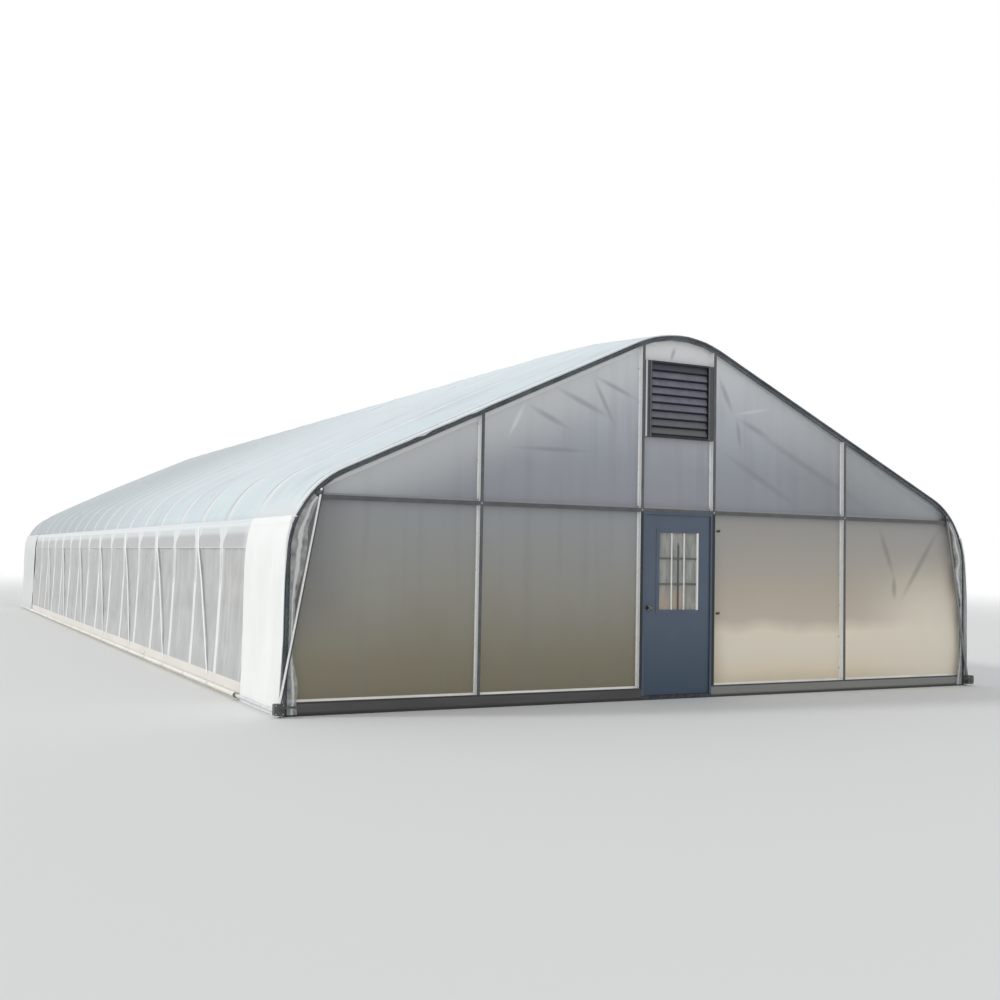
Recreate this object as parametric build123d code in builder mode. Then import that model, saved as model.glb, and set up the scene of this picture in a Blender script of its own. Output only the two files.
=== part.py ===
from build123d import *
from math import cos, hypot, radians, sin, tan
import os

# A 30 ft by 76 ft gothic high tunnel: bent steel bows under film, two framed end walls.
# Millimetres. X runs across, Y from the front wall to the rear wall, Z up from the ground.

# Driving dimensions of the building
WIDTH = 9144.0            # over the bow legs
BAY = 1219.2              # bow spacing
BAYS = 19
LENGTH = BAY * BAYS       # over the two end frames
PEAK = 4120.0             # top of the bows
SLOPE = 24.8              # rafter pitch, degrees
HAUNCH_R = 950.0          # outer bend between leg and rafter
CROWN_R = 1400.0          # outer bend over the ridge
TUBE = 42.0               # bow section, square
FILM = 3.0                # cover thickness as modelled
HAUNCH_CUTS = 8           # straight lengths that each bend is drawn with
CROWN_CUTS = 5

# Front wall
POST = 38.0               # face width of posts
DEEP = 64.0               # depth of every end-wall member
GIRT_Z = 2110.0           # centre of the girt, which is also the door head
GIRT_H = 40.0
SILL_H = 130.0
PANEL = 10.0              # twin-wall sheet
STUD_X = 2500.0           # outer studs
TRIM_W = 60.0             # face of the dark trim on the end bow
TRIM_D = 22.0

# Door
LEAF_W = 914.0
LEAF_Z0 = 50.0
LEAF_T = 44.0
CLEAR = 6.0               # round the leaf
JAMB = 15.0
STOP = 10.0

# Gable vent over the door
VENT_Z0 = 2940.0
VENT_Z1 = 3800.0

# Outer line of a bow: leg, haunch, rafter, crown, worked out from the driving dimensions
HALF = WIDTH / 2
APEX = PEAK + CROWN_R * (1 / cos(radians(SLOPE)) - 1)
HAUNCH_X = HALF - HAUNCH_R
TURN = 90 - SLOPE
HAUNCH_CUT = TURN / HAUNCH_CUTS
CROWN_CUT = (180 - 2 * TURN) / CROWN_CUTS
HAUNCH_ANGLES = [i * HAUNCH_CUT for i in range(HAUNCH_CUTS + 1)]
CROWN_ANGLES = [TURN + i * CROWN_CUT for i in range(CROWN_CUTS + 1)]
HAUNCH_Z = APEX - HALF * tan(radians(SLOPE)) - HAUNCH_R * tan(radians(TURN / 2))
CROWN_Z = PEAK - CROWN_R
FRONT = -LENGTH / 2
BACK = LENGTH / 2
BOW_Y0 = FRONT + TRIM_D + TUBE / 2
STEP = (LENGTH - 2 * TRIM_D - TUBE) / BAYS
BOW_YS = [BOW_Y0 + i * STEP for i in range(BAYS + 1)]
FACE = Plane.XZ           # sketches of the arch; its normal points to -Y
MID = Plane.XZ


def haunch_at(r, angle):
    return (HAUNCH_X + r * cos(radians(angle)), HAUNCH_Z + r * sin(radians(angle)))


def crown_at(r, angle):
    return (r * cos(radians(angle)), CROWN_Z + r * sin(radians(angle)))


def slope_point(x, offset=0.0):
    """A point on the right rafter's outer line moved out by offset."""
    return (x, APEX + offset / cos(radians(SLOPE)) - x * tan(radians(SLOPE)))


def at_y(*ys):
    """Arch planes at the given Y."""
    return [FACE.offset(-y) for y in ys]


def band_outline(at, radius, angles, inner, outer):
    """Closed outline of a band along a bend, between two offsets from its outer line."""
    high = [at(radius + outer, angle) for angle in angles]
    low = [at(radius + inner, angle) for angle in reversed(angles)]
    return Polyline(*high, *low, close=True)


def rafter_outline(inner, outer):
    """Closed outline of a band of the right rafter, from the haunch to the crown."""
    a, b = haunch_at(HAUNCH_R + outer, TURN), crown_at(CROWN_R + outer, TURN)
    c, d = crown_at(CROWN_R + inner, TURN), haunch_at(HAUNCH_R + inner, TURN)
    return Polyline(a, b, c, d, close=True)


def arch_outline(offset, z0=0.0):
    """The whole closed outline of the arch at an offset from the bow's outer line."""
    right = [haunch_at(HAUNCH_R + offset, angle) for angle in HAUNCH_ANGLES]
    crown = [crown_at(CROWN_R + offset, angle) for angle in CROWN_ANGLES]
    left = [(-x, z) for x, z in reversed(right)]
    x = HALF + offset
    return Polyline((x, z0), *right, *crown, *left, (-x, z0), close=True)


# Bows: legs, bent haunches, straight rafters and a bent crown, one of each a bay
with BuildPart() as bow_legs:
    with BuildSketch(*at_y(*BOW_YS)):
        with Locations((HALF - TUBE / 2, HAUNCH_Z / 2), (TUBE / 2 - HALF, HAUNCH_Z / 2)):
            Rectangle(TUBE, HAUNCH_Z)
    extrude(amount=TUBE / 2, both=True)

with BuildPart() as bow_haunches:
    with BuildSketch(*at_y(*BOW_YS)):
        with BuildLine():
            band_outline(haunch_at, HAUNCH_R, HAUNCH_ANGLES, -TUBE, 0)
        make_face()
    extrude(amount=TUBE / 2, both=True)
    mirror(about=Plane.YZ)

with BuildPart() as bow_rafters:
    with BuildSketch(*at_y(*BOW_YS)):
        with BuildLine():
            rafter_outline(-TUBE, 0)
        make_face()
    extrude(amount=TUBE / 2, both=True)
    mirror(about=Plane.YZ)

with BuildPart() as bow_crowns:
    with BuildSketch(*at_y(*BOW_YS)):
        with BuildLine():
            band_outline(crown_at, CROWN_R, CROWN_ANGLES, -TUBE, 0)
        make_face()
    extrude(amount=TUBE / 2, both=True)

# Purlins: one under the crown and two under each rafter, running from end bow to end bow
PURLIN = 34.0
PURLIN_XS = (1630.0, 3030.0)
RUN = LENGTH - 2 * DEEP     # between the end-wall sheets
RIDGE_TOP = CROWN_Z + (CROWN_R - TUBE) * cos(radians(CROWN_CUT / 2))

with BuildPart() as ridge_purlin:
    with BuildSketch(MID):
        with Locations((0, RIDGE_TOP - PURLIN / 2)):
            Rectangle(PURLIN, PURLIN)
    extrude(amount=RUN / 2, both=True)

with BuildPart() as side_purlins:
    with BuildSketch(MID):
        for x in PURLIN_XS:
            with Locations(slope_point(x, -TUBE - PURLIN / 2)):
                Rectangle(PURLIN, PURLIN, rotation=-SLOPE)
    extrude(amount=RUN / 2, both=True)
    mirror(about=Plane.YZ)

# Hip rails: the film lock rail that runs along each side where roof film and curtain meet.
# It sits on the flat of the bend's third straight length, its groove outwards for the wire.
HIP_CUTS = 2
HIP = (HIP_CUTS + 0.5) * HAUNCH_CUT
HIP_R = HAUNCH_R * cos(radians(HAUNCH_CUT / 2))
RAIL_H = 60.0
RAIL_T = 25.0
GROOVE_W = 24.0           # of the lock groove in hip rails and arch trims
GROOVE_D = 12.0


def on_hip(along, out):
    """A point beside the middle of the hip flat: along it upwards, and out from it."""
    c, s = cos(radians(HIP)), sin(radians(HIP))
    return (HAUNCH_X + (HIP_R + out) * c - along * s, HAUNCH_Z + (HIP_R + out) * s + along * c)


def leg_line(out):
    """The right side's line at an offset, from under the hip rail down to the leg."""
    bend = [haunch_at(HAUNCH_R + out, angle) for angle in reversed(HAUNCH_ANGLES[:HIP_CUTS + 1])]
    return [on_hip(-RAIL_H / 2, out), *bend]


def shoulder_line(out):
    """The right side's line at an offset, from over the hip rail up to the rafter."""
    bend = [haunch_at(HAUNCH_R + out, angle) for angle in HAUNCH_ANGLES[HIP_CUTS + 1:]]
    return [on_hip(RAIL_H / 2, out), *bend]


with BuildPart() as hip_rails:
    with BuildSketch(MID):
        with Locations(on_hip(0, RAIL_T / 2)):
            Rectangle(RAIL_T, RAIL_H, rotation=HIP)
        with Locations(on_hip(0, RAIL_T - GROOVE_D / 2)):
            Rectangle(GROOVE_D, GROOVE_W, rotation=HIP, mode=Mode.SUBTRACT)
    extrude(amount=LENGTH / 2, both=True)
    mirror(about=Plane.YZ)

# Cover: the roof film in its bent and flat lengths
with BuildPart() as shoulder_films:
    with BuildSketch(MID):
        with BuildLine():
            Polyline(*shoulder_line(0), *reversed(shoulder_line(FILM)), close=True)
        make_face()
    extrude(amount=LENGTH / 2, both=True)
    mirror(about=Plane.YZ)

with BuildPart() as roof_films:
    with BuildSketch(MID):
        with BuildLine():
            rafter_outline(0, FILM)
        make_face()
    extrude(amount=LENGTH / 2, both=True)
    mirror(about=Plane.YZ)

with BuildPart() as ridge_film:
    with BuildSketch(MID):
        with BuildLine():
            band_outline(crown_at, CROWN_R, CROWN_ANGLES, 0, FILM)
        make_face()
    extrude(amount=LENGTH / 2, both=True)

# Side walls: a board on edge along the legs, a curtain over it and a fixed film at each end
BOARD_H = 190.0
BOARD_T = 38.0
HEM_Z = 75.0
FRONT_STRIP = 1370.0      # length of the fixed film at each front corner
REAR_STRIP = 2450.0       # and at each rear corner
GAP = 12.0                # between fixed film and curtain
STRIP_YS = (FRONT + FRONT_STRIP, BACK - REAR_STRIP)

with BuildPart() as side_boards:
    with BuildSketch(MID):
        with Locations((HALF + BOARD_T / 2, BOARD_H / 2), (-HALF - BOARD_T / 2, BOARD_H / 2)):
            Rectangle(BOARD_T, BOARD_H)
    extrude(amount=LENGTH / 2, both=True)


def side_outline(hem):
    """Right side film from the hip rail down the leg and over the board to hem."""
    board = HALF + BOARD_T
    outside = [*leg_line(FILM), (HALF + FILM, BOARD_H + FILM), (board + FILM, BOARD_H + FILM),
               (board + FILM, hem)]
    inside = [*leg_line(0), (HALF, BOARD_H), (board, BOARD_H), (board, hem)]
    return Polyline(*outside, *reversed(inside), close=True)


with BuildPart() as right_curtain:
    with BuildSketch(FACE.offset(-(STRIP_YS[0] + GAP))):
        with BuildLine():
            side_outline(HEM_Z)
        make_face()
    extrude(amount=STRIP_YS[0] - STRIP_YS[1] + 2 * GAP)

with BuildPart() as left_curtain:
    mirror(right_curtain.part, about=Plane.YZ)

with BuildPart() as side_end_films:
    for start, strip in ((FRONT, FRONT_STRIP), (STRIP_YS[1], REAR_STRIP)):
        with BuildSketch(FACE.offset(-start)):
            with BuildLine():
                side_outline(0)
            make_face()
        extrude(amount=-strip)
    mirror(about=Plane.YZ)

# Roll-up gear: the tube on the curtain's hem, and the geared crank with its guide pole
ROLL_R = 21.0
ROLL_X = HALF + BOARD_T + FILM + ROLL_R
ROLL_Z = 52.0

with BuildPart() as roll_tubes:
    with BuildSketch(MID):
        with Locations((ROLL_X, ROLL_Z), (-ROLL_X, ROLL_Z)):
            Circle(ROLL_R)
    extrude(amount=LENGTH / 2, both=True)

# Straps that hold the curtain in: one from each second bow at the hip, down and forward
STRAP_W = 45.0
STRAP_T = 4.0
STRAP_BOWS = BOW_YS[3:16:2]
STRAP_RUN = 0.62 * BAY
HIP_Z = on_hip(0, 0)[1]

with BuildPart() as curtain_straps:
    with BuildSketch(MID):
        with BuildLine():
            Polyline(*leg_line(FILM + STRAP_T), (HALF + FILM + STRAP_T, BOARD_H + FILM),
                     (HALF + FILM, BOARD_H + FILM), *reversed(leg_line(FILM)), close=True)
        make_face()
    extrude(amount=LENGTH / 2, both=True)
    with BuildSketch(Plane.YZ.offset(HAUNCH_X)):
        for y in STRAP_BOWS:
            with BuildLine():
                Polyline((y - STRAP_W / 2, HIP_Z), (y + STRAP_W / 2, HIP_Z),
                         (y + STRAP_W / 2 - STRAP_RUN, BOARD_H),
                         (y - STRAP_W / 2 - STRAP_RUN, BOARD_H), close=True)
            make_face()
    extrude(amount=HAUNCH_R + BOARD_T, mode=Mode.INTERSECT)
    mirror(about=Plane.YZ)

GEAR_W = 100.0
GEAR_H = 110.0
GEAR_D = 70.0
GEAR_X = ROLL_X - 10
GEAR_Z = 75.0
GEAR_ROUND = 12.0
BOSS_R = 16.0
BOSS_D = 24.0
CRANK_RISE = 24.0         # the boss sits a little over the tube
CRANK_Z = GEAR_Z + CRANK_RISE
CRANK_ARM = 140.0
CRANK_W = 22.0
CRANK_T = 10.0
GRIP_R = 11.0
GRIP_L = 70.0
POLE_R = 17.0
POLE_TOP = (4240.0, 2190.0)
POLE_FOOT = (GEAR_X - 20, GEAR_Z + GEAR_H / 2)
POLE_Y = FRONT - POLE_R

with BuildPart() as crank_gearboxes:
    with BuildSketch(FACE.offset(-FRONT)):
        with Locations((GEAR_X, GEAR_Z)):
            RectangleRounded(GEAR_W, GEAR_H, GEAR_ROUND)
    extrude(amount=GEAR_D)
    with BuildSketch(FACE.offset(-FRONT + GEAR_D)):
        with Locations((GEAR_X, CRANK_Z)):
            RegularPolygon(BOSS_R, 8)
    extrude(amount=BOSS_D)
    with BuildSketch(FACE.offset(-FRONT + GEAR_D + BOSS_D)):
        with Locations((GEAR_X - CRANK_ARM / 2, CRANK_Z)):
            SlotOverall(CRANK_ARM + CRANK_W, CRANK_W)
    extrude(amount=CRANK_T)
    with BuildSketch(FACE.offset(-FRONT + GEAR_D + BOSS_D + CRANK_T)):
        with Locations((GEAR_X - CRANK_ARM, CRANK_Z)):
            RegularPolygon(GRIP_R, 8)
    extrude(amount=GRIP_L)
    mirror(about=Plane.YZ)

with BuildPart() as guide_poles:
    with BuildSketch(Plane.XY.offset(POLE_FOOT[1])):
        with Locations((POLE_FOOT[0], POLE_Y)):
            Circle(POLE_R)
    extrude(amount=hypot(POLE_TOP[0] - POLE_FOOT[0], POLE_TOP[1] - POLE_FOOT[1]),
            dir=(POLE_TOP[0] - POLE_FOOT[0], 0, POLE_TOP[1] - POLE_FOOT[1]))
    mirror(about=Plane.YZ)

# Trusses on every second bow: a collar tie between the rafters and two webs
TIE = 34.0
TIE_Z = 2860.0
TIE_IN = TUBE / cos(radians(SLOPE))
WEB_X = 900.0             # foot of each web on the tie
WEB_GAP = 60.0            # from the head of each web to the purlin
TRUSS_YS = BOW_YS[1:BAYS:2]


def under_rafter(z):
    """X of the rafter's underside at height z."""
    return (APEX - TIE_IN - z) / tan(radians(SLOPE))


with BuildPart() as collar_ties:
    with BuildSketch(*at_y(*TRUSS_YS)):
        with BuildLine():
            Polyline((under_rafter(TIE_Z - TIE / 2), TIE_Z - TIE / 2),
                     (under_rafter(TIE_Z + TIE / 2), TIE_Z + TIE / 2),
                     (-under_rafter(TIE_Z + TIE / 2), TIE_Z + TIE / 2),
                     (-under_rafter(TIE_Z - TIE / 2), TIE_Z - TIE / 2), close=True)
        make_face()
    extrude(amount=TIE / 2, both=True)

with BuildPart() as truss_webs:
    with BuildSketch(*at_y(*TRUSS_YS)):
        with BuildLine():
            web_top = PURLIN_XS[0] - PURLIN / 2 * cos(radians(SLOPE)) - WEB_GAP
            Polyline((WEB_X - TIE / 2, TIE_Z + TIE / 2), (WEB_X + TIE / 2, TIE_Z + TIE / 2),
                     slope_point(web_top, -TUBE), slope_point(web_top - TIE, -TUBE), close=True)
        make_face()
    extrude(amount=TIE / 2, both=True)
    mirror(about=Plane.YZ)

# Wind braces: one in each corner, inside the legs, from the end bow down to the third bow
BRACE = 30.0
BRACE_END = 36.0          # height of its cut ends
BRACE_TOP = HAUNCH_Z - TUBE
BRACE_FOOT = 60.0
BRACE_YS = (BOW_YS[0] + TUBE / 2, BOW_YS[2] + TUBE / 2)

with BuildPart() as wind_braces:
    with BuildSketch(Plane.YZ.offset(HALF - TUBE - BRACE)):
        with BuildLine():
            Polyline((BRACE_YS[0], BRACE_TOP), (BRACE_YS[0], BRACE_TOP - BRACE_END),
                     (BRACE_YS[1], BRACE_FOOT), (BRACE_YS[1], BRACE_FOOT + BRACE_END), close=True)
        make_face()
    extrude(amount=BRACE)
    mirror(about=Plane.XZ)
    mirror(about=Plane.YZ)

# End walls. The dark trim frames the end bow, a lock rail bent to the arch; posts, girts and sills
# are as deep as trim and bow together; the twin-wall sheets sit at the back of each field.
POST_XS = (-STUD_X, -(LEAF_W / 2 + CLEAR + JAMB + POST / 2), LEAF_W / 2 + CLEAR + JAMB + POST / 2,
           STUD_X)
DOOR_POST = POST_XS[2]
DOOR_IN = DOOR_POST - POST / 2
GIRT_LOW, GIRT_TOP = GIRT_Z - GIRT_H / 2, GIRT_Z + GIRT_H / 2
INSIDE = HALF - TRIM_W
TALL = 1.05 * PEAK        # over the arch, which cuts it off

with BuildPart() as front_arch_trim:
    with BuildSketch(FACE.offset(-FRONT)):
        with BuildLine():
            arch_outline(0)
        make_face()
        with BuildLine():
            arch_outline(-TRIM_W, -TRIM_W)
        make_face(mode=Mode.SUBTRACT)
    extrude(amount=-TRIM_D)
    with BuildSketch(FACE.offset(-FRONT)):
        with BuildLine():
            arch_outline((GROOVE_W - TRIM_W) / 2)
        make_face()
        with BuildLine():
            arch_outline(-(GROOVE_W + TRIM_W) / 2, -TRIM_W)
        make_face(mode=Mode.SUBTRACT)
    extrude(amount=-GROOVE_D, mode=Mode.SUBTRACT)

with BuildPart() as rear_arch_trim:
    mirror(front_arch_trim.part, about=Plane.XZ)

with BuildPart() as front_sills:
    with BuildSketch(FACE.offset(-FRONT)):
        with Locations(((DOOR_IN + INSIDE) / 2, SILL_H / 2), (-(DOOR_IN + INSIDE) / 2, SILL_H / 2)):
            Rectangle(INSIDE - DOOR_IN, SILL_H)
    extrude(amount=-DEEP)

with BuildPart() as front_posts:
    with BuildSketch(FACE.offset(-FRONT)):
        with Locations(*[(x, (TALL + SILL_H) / 2) for x in POST_XS]):
            Rectangle(POST, TALL - SILL_H)
        with BuildLine():
            arch_outline(-TRIM_W)
        make_face(mode=Mode.INTERSECT)
    extrude(amount=-DEEP)

FIELDS = [(-HALF, POST_XS[0] - POST / 2), (POST_XS[0] + POST / 2, POST_XS[1] - POST / 2),
          (POST_XS[1] + POST / 2, POST_XS[2] - POST / 2),
          (POST_XS[2] + POST / 2, POST_XS[3] - POST / 2), (POST_XS[3] + POST / 2, HALF)]


def cells(fields, low, high):
    """Rectangles between posts, from low to high."""
    for a, b in fields:
        with Locations(((a + b) / 2, (low + high) / 2)):
            Rectangle(b - a, high - low)


with BuildPart() as front_girts:
    with BuildSketch(FACE.offset(-FRONT)):
        cells(FIELDS, GIRT_LOW, GIRT_TOP)
        with BuildLine():
            arch_outline(-TRIM_W)
        make_face(mode=Mode.INTERSECT)
    extrude(amount=-DEEP)

SHEET = FACE.offset(-(FRONT + DEEP - PANEL))

with BuildPart() as front_lower_panels:
    with BuildSketch(SHEET):
        cells(FIELDS[:2] + FIELDS[3:], SILL_H, GIRT_LOW)
        with BuildLine():
            arch_outline(-TUBE)
        make_face(mode=Mode.INTERSECT)
    extrude(amount=-PANEL)

with BuildPart() as front_upper_panels:
    with BuildSketch(SHEET):
        cells(FIELDS[:2] + FIELDS[3:], GIRT_TOP, TALL)
        cells(FIELDS[2:3], GIRT_TOP, VENT_Z0)
        cells(FIELDS[2:3], VENT_Z1, TALL)
        with BuildLine():
            arch_outline(-TUBE)
        make_face(mode=Mode.INTERSECT)
    extrude(amount=-PANEL)

# Gable vent: a louvred shutter in a frame that fills the width between the door posts
VENT_W = 830.0
VENT_RIM = 22.0
VENT_LIP = 12.0           # that its rim stands out
BLADES = 9
BLADE_PITCH = (VENT_Z1 - VENT_Z0 - 2 * VENT_RIM) / BLADES
BLADE_T = 3.0
BLADE_FOOT = 6.0          # its drip edge, back from the wall's face
BLADE_LIP = 15.0          # height of the drip edge
BLADE_LEAN = 24.0         # from its foot back to its top
VENT_IN = VENT_W - 2 * VENT_RIM

with BuildPart() as vent_frame:
    with BuildSketch(FACE.offset(-FRONT)):
        cells(FIELDS[2:3], VENT_Z0, VENT_Z1)
        with Locations((0, (VENT_Z0 + VENT_Z1) / 2)):
            Rectangle(VENT_IN, VENT_Z1 - VENT_Z0 - 2 * VENT_RIM, mode=Mode.SUBTRACT)
    extrude(amount=-DEEP)
    with BuildSketch(FACE.offset(-FRONT)):
        with Locations((0, (VENT_Z0 + VENT_Z1) / 2)):
            Rectangle(VENT_W, VENT_Z1 - VENT_Z0)
            Rectangle(VENT_IN, VENT_Z1 - VENT_Z0 - 2 * VENT_RIM, mode=Mode.SUBTRACT)
    extrude(amount=VENT_LIP)

with BuildPart() as vent_blades:
    with BuildSketch(Plane.YZ.offset(-VENT_IN / 2)):
        for i in range(BLADES):
            foot = VENT_Z0 + VENT_RIM + i * BLADE_PITCH
            edge, head = foot + BLADE_T + BLADE_LIP, foot + BLADE_PITCH
            near = FRONT + BLADE_FOOT
            with BuildLine():
                Polyline((near, foot + BLADE_T), (near, edge), (near + BLADE_T, edge),
                         (near + BLADE_LEAN, head), (near + BLADE_LEAN + BLADE_T, head),
                         (near + 1.7 * BLADE_T, edge - BLADE_T), (near + BLADE_T, foot + BLADE_T),
                         close=True)
            make_face()
    extrude(amount=VENT_IN)

# Door frame, threshold and door
HINGE_X = LEAF_W / 2 + CLEAR / 2
LEAF_Y0 = FRONT + STOP + 7
LEAF_Y1 = LEAF_Y0 + LEAF_T
HINGE_Y = LEAF_Y1 + 8
LEAF_Z1 = GIRT_LOW - JAMB - CLEAR
LEAF_H = LEAF_Z1 - LEAF_Z0
THRESHOLD = LEAF_Z0 - CLEAR

with BuildPart() as threshold:
    with BuildSketch(FACE.offset(-FRONT)):
        with Locations((0, THRESHOLD / 2)):
            Rectangle(2 * DOOR_IN, THRESHOLD)
    extrude(amount=-DEEP)

with BuildPart() as door_frame:
    with BuildSketch(FACE.offset(-FRONT)):
        with Locations((0, (THRESHOLD + GIRT_LOW) / 2)):
            Rectangle(2 * DOOR_IN, GIRT_LOW - THRESHOLD)
        with Locations((0, (THRESHOLD + GIRT_LOW - JAMB) / 2)):
            Rectangle(2 * (DOOR_IN - JAMB), GIRT_LOW - JAMB - THRESHOLD, mode=Mode.SUBTRACT)
    extrude(amount=-DEEP)
    with BuildSketch(FACE.offset(-FRONT)):
        with Locations((0, (THRESHOLD + GIRT_LOW) / 2)):
            Rectangle(2 * DOOR_IN, GIRT_LOW - THRESHOLD)
        with Locations((0, (THRESHOLD + GIRT_LOW - JAMB - STOP) / 2)):
            Rectangle(2 * (DOOR_IN - JAMB - STOP), GIRT_LOW - JAMB - STOP - THRESHOLD,
                      mode=Mode.SUBTRACT)
    extrude(amount=-STOP)

# Leaf with a half light: 9 panes behind one bar grid
LITE_W, LITE_H = 560.0, 910.0
LITE_X, LITE_Z = 10.0, 1430.0
LITE_RIM = 22.0
BACKSET = 70.0            # from the leaf's edge to the knob
KNOB_X, KNOB_Z = -LEAF_W / 2 + BACKSET, 1020.0
BORE_R = 13.0
LEAF_FACE = FACE.offset(-LEAF_Y0)

with BuildPart() as door_leaf:
    with BuildSketch(LEAF_FACE):
        with Locations((0, (LEAF_Z0 + LEAF_Z1) / 2)):
            Rectangle(LEAF_W, LEAF_H)
        with Locations((LITE_X, LITE_Z)):
            Rectangle(LITE_W, LITE_H, mode=Mode.SUBTRACT)
        with Locations((KNOB_X, KNOB_Z)):
            Circle(BORE_R, mode=Mode.SUBTRACT)
    extrude(amount=-LEAF_T)

with BuildPart() as lite_frame:
    with BuildSketch(LEAF_FACE):
        with Locations((LITE_X, LITE_Z)):
            Rectangle(LITE_W + 2 * LITE_RIM, LITE_H + 2 * LITE_RIM)
            Rectangle(LITE_W - 2 * LITE_RIM, LITE_H - 2 * LITE_RIM, mode=Mode.SUBTRACT)
    extrude(amount=4)
    with BuildSketch(LEAF_FACE):
        with Locations((LITE_X, LITE_Z)):
            Rectangle(LITE_W, LITE_H)
            Rectangle(LITE_W - 2 * LITE_RIM, LITE_H - 2 * LITE_RIM, mode=Mode.SUBTRACT)
    extrude(amount=-16)

with BuildPart() as door_glass:
    with BuildSketch(FACE.offset(-(LEAF_Y0 + 16))):
        with Locations((LITE_X, LITE_Z)):
            Rectangle(LITE_W, LITE_H)
    extrude(amount=-8)

BAR = 18.0
VIEW_W, VIEW_H = LITE_W - 2 * LITE_RIM, LITE_H - 2 * LITE_RIM

with BuildPart() as door_bars:
    with BuildSketch(FACE.offset(-(LEAF_Y0 + 4))):
        with Locations((LITE_X - VIEW_W / 6, LITE_Z), (LITE_X + VIEW_W / 6, LITE_Z)):
            Rectangle(BAR, VIEW_H)
        with Locations((LITE_X, LITE_Z - VIEW_H / 6), (LITE_X, LITE_Z + VIEW_H / 6)):
            Rectangle(VIEW_W, BAR)
    extrude(amount=-12)

# Hinges: a fixed knuckle with its pin on the frame, and a knuckle on the leaf that turns on it
HINGE_INSET = 220.0       # from the leaf's ends to the outer hinges
HINGE_ZS = (LEAF_Z0 + HINGE_INSET, (LEAF_Z0 + LEAF_Z1) / 2, LEAF_Z1 - HINGE_INSET)
KNUCKLE = 48.0
LIFT = 1.0                # between the two knuckles
BARREL_R = 5.5
PIN_R = 3.0
RUNNING = 0.05            # radial clearance of a turning fit
PLATE_W = 45.0
FRAME_PLATE = HINGE_Y - (FRONT + DEEP) - PIN_R
LEAF_PLATE = HINGE_Y - LEAF_Y1 - PIN_R - RUNNING

with BuildPart() as hinge_frames:
    for z in HINGE_ZS:
        with BuildSketch(Plane.XY.offset(z - KNUCKLE)):
            with Locations((HINGE_X, HINGE_Y)):
                Circle(BARREL_R)
            with Locations((HINGE_X + PLATE_W / 2, FRONT + DEEP + FRAME_PLATE / 2)):
                Rectangle(PLATE_W, FRAME_PLATE)
        extrude(amount=KNUCKLE - LIFT)
        with BuildSketch(Plane.XY.offset(z - LIFT)):
            with Locations((HINGE_X, HINGE_Y)):
                Circle(PIN_R)
        extrude(amount=KNUCKLE + LIFT)

with BuildPart() as hinge_leaves:
    for z in HINGE_ZS:
        with BuildSketch(Plane.XY.offset(z)):
            with Locations((HINGE_X, HINGE_Y)):
                Circle(BARREL_R)
            with Locations((HINGE_X - PLATE_W / 2, LEAF_Y1 + LEAF_PLATE / 2)):
                Rectangle(PLATE_W, LEAF_PLATE)
            with Locations((HINGE_X, HINGE_Y)):
                Circle(PIN_R + RUNNING, mode=Mode.SUBTRACT)
        extrude(amount=KNUCKLE)

# Knob: a rose on each face of the leaf, and two round knobs on one spindle
SPINDLE_R = 8.0
ROSE_R = 33.0
ROSE_T = 6.0
KNOB_R = 26.0
KNOB_TIP = 19.0           # radius of its flat end
KNOB_OUT = 60.0           # how far it stands out of the leaf
KNOB_TIP_D = 9.0          # depth of the bevel round the end
KNOB_NECK_D = 34.0        # from the end to the neck

with BuildPart() as knob_roses:
    with BuildSketch(LEAF_FACE):
        with Locations((KNOB_X, KNOB_Z)):
            Circle(ROSE_R)
            Circle(SPINDLE_R + RUNNING, mode=Mode.SUBTRACT)
    extrude(amount=ROSE_T)
    with BuildSketch(FACE.offset(-LEAF_Y1)):
        with Locations((KNOB_X, KNOB_Z)):
            Circle(ROSE_R)
            Circle(SPINDLE_R + RUNNING, mode=Mode.SUBTRACT)
    extrude(amount=-ROSE_T)

KNOB_MID = (LEAF_Y0 + LEAF_Y1) / 2
REACH = LEAF_T / 2 + KNOB_OUT
KNOB_SIDE = [(REACH, 0.0), (REACH, KNOB_TIP), (REACH - KNOB_TIP_D, KNOB_R),
             (REACH - KNOB_NECK_D, SPINDLE_R)]

with BuildPart() as door_knob:
    with BuildSketch(Plane.YZ.offset(KNOB_X)):
        with BuildLine():
            Polyline(*[(KNOB_MID - y, KNOB_Z + r) for y, r in KNOB_SIDE],
                     *[(KNOB_MID + y, KNOB_Z + r) for y, r in reversed(KNOB_SIDE)], close=True)
        make_face()
    revolve(axis=Axis((KNOB_X, KNOB_MID, KNOB_Z), (0, 1, 0)))

# Rear wall: the same posts, girt and sheets without a door or vent
REAR = FACE.offset(-BACK)
REAR_SHEET = FACE.offset(-(BACK - DEEP + PANEL))

with BuildPart() as rear_sill:
    with BuildSketch(REAR):
        with Locations((0, SILL_H / 2)):
            Rectangle(2 * INSIDE, SILL_H)
    extrude(amount=DEEP)

with BuildPart() as rear_posts:
    with BuildSketch(REAR):
        with Locations(*[(x, (TALL + SILL_H) / 2) for x in POST_XS]):
            Rectangle(POST, TALL - SILL_H)
        with BuildLine():
            arch_outline(-TRIM_W)
        make_face(mode=Mode.INTERSECT)
    extrude(amount=DEEP)

with BuildPart() as rear_girts:
    with BuildSketch(REAR):
        cells(FIELDS, GIRT_LOW, GIRT_TOP)
        with BuildLine():
            arch_outline(-TRIM_W)
        make_face(mode=Mode.INTERSECT)
    extrude(amount=DEEP)

with BuildPart() as rear_lower_panels:
    with BuildSketch(REAR_SHEET):
        cells(FIELDS, SILL_H, GIRT_LOW)
        with BuildLine():
            arch_outline(-TUBE)
        make_face(mode=Mode.INTERSECT)
    extrude(amount=PANEL)

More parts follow.
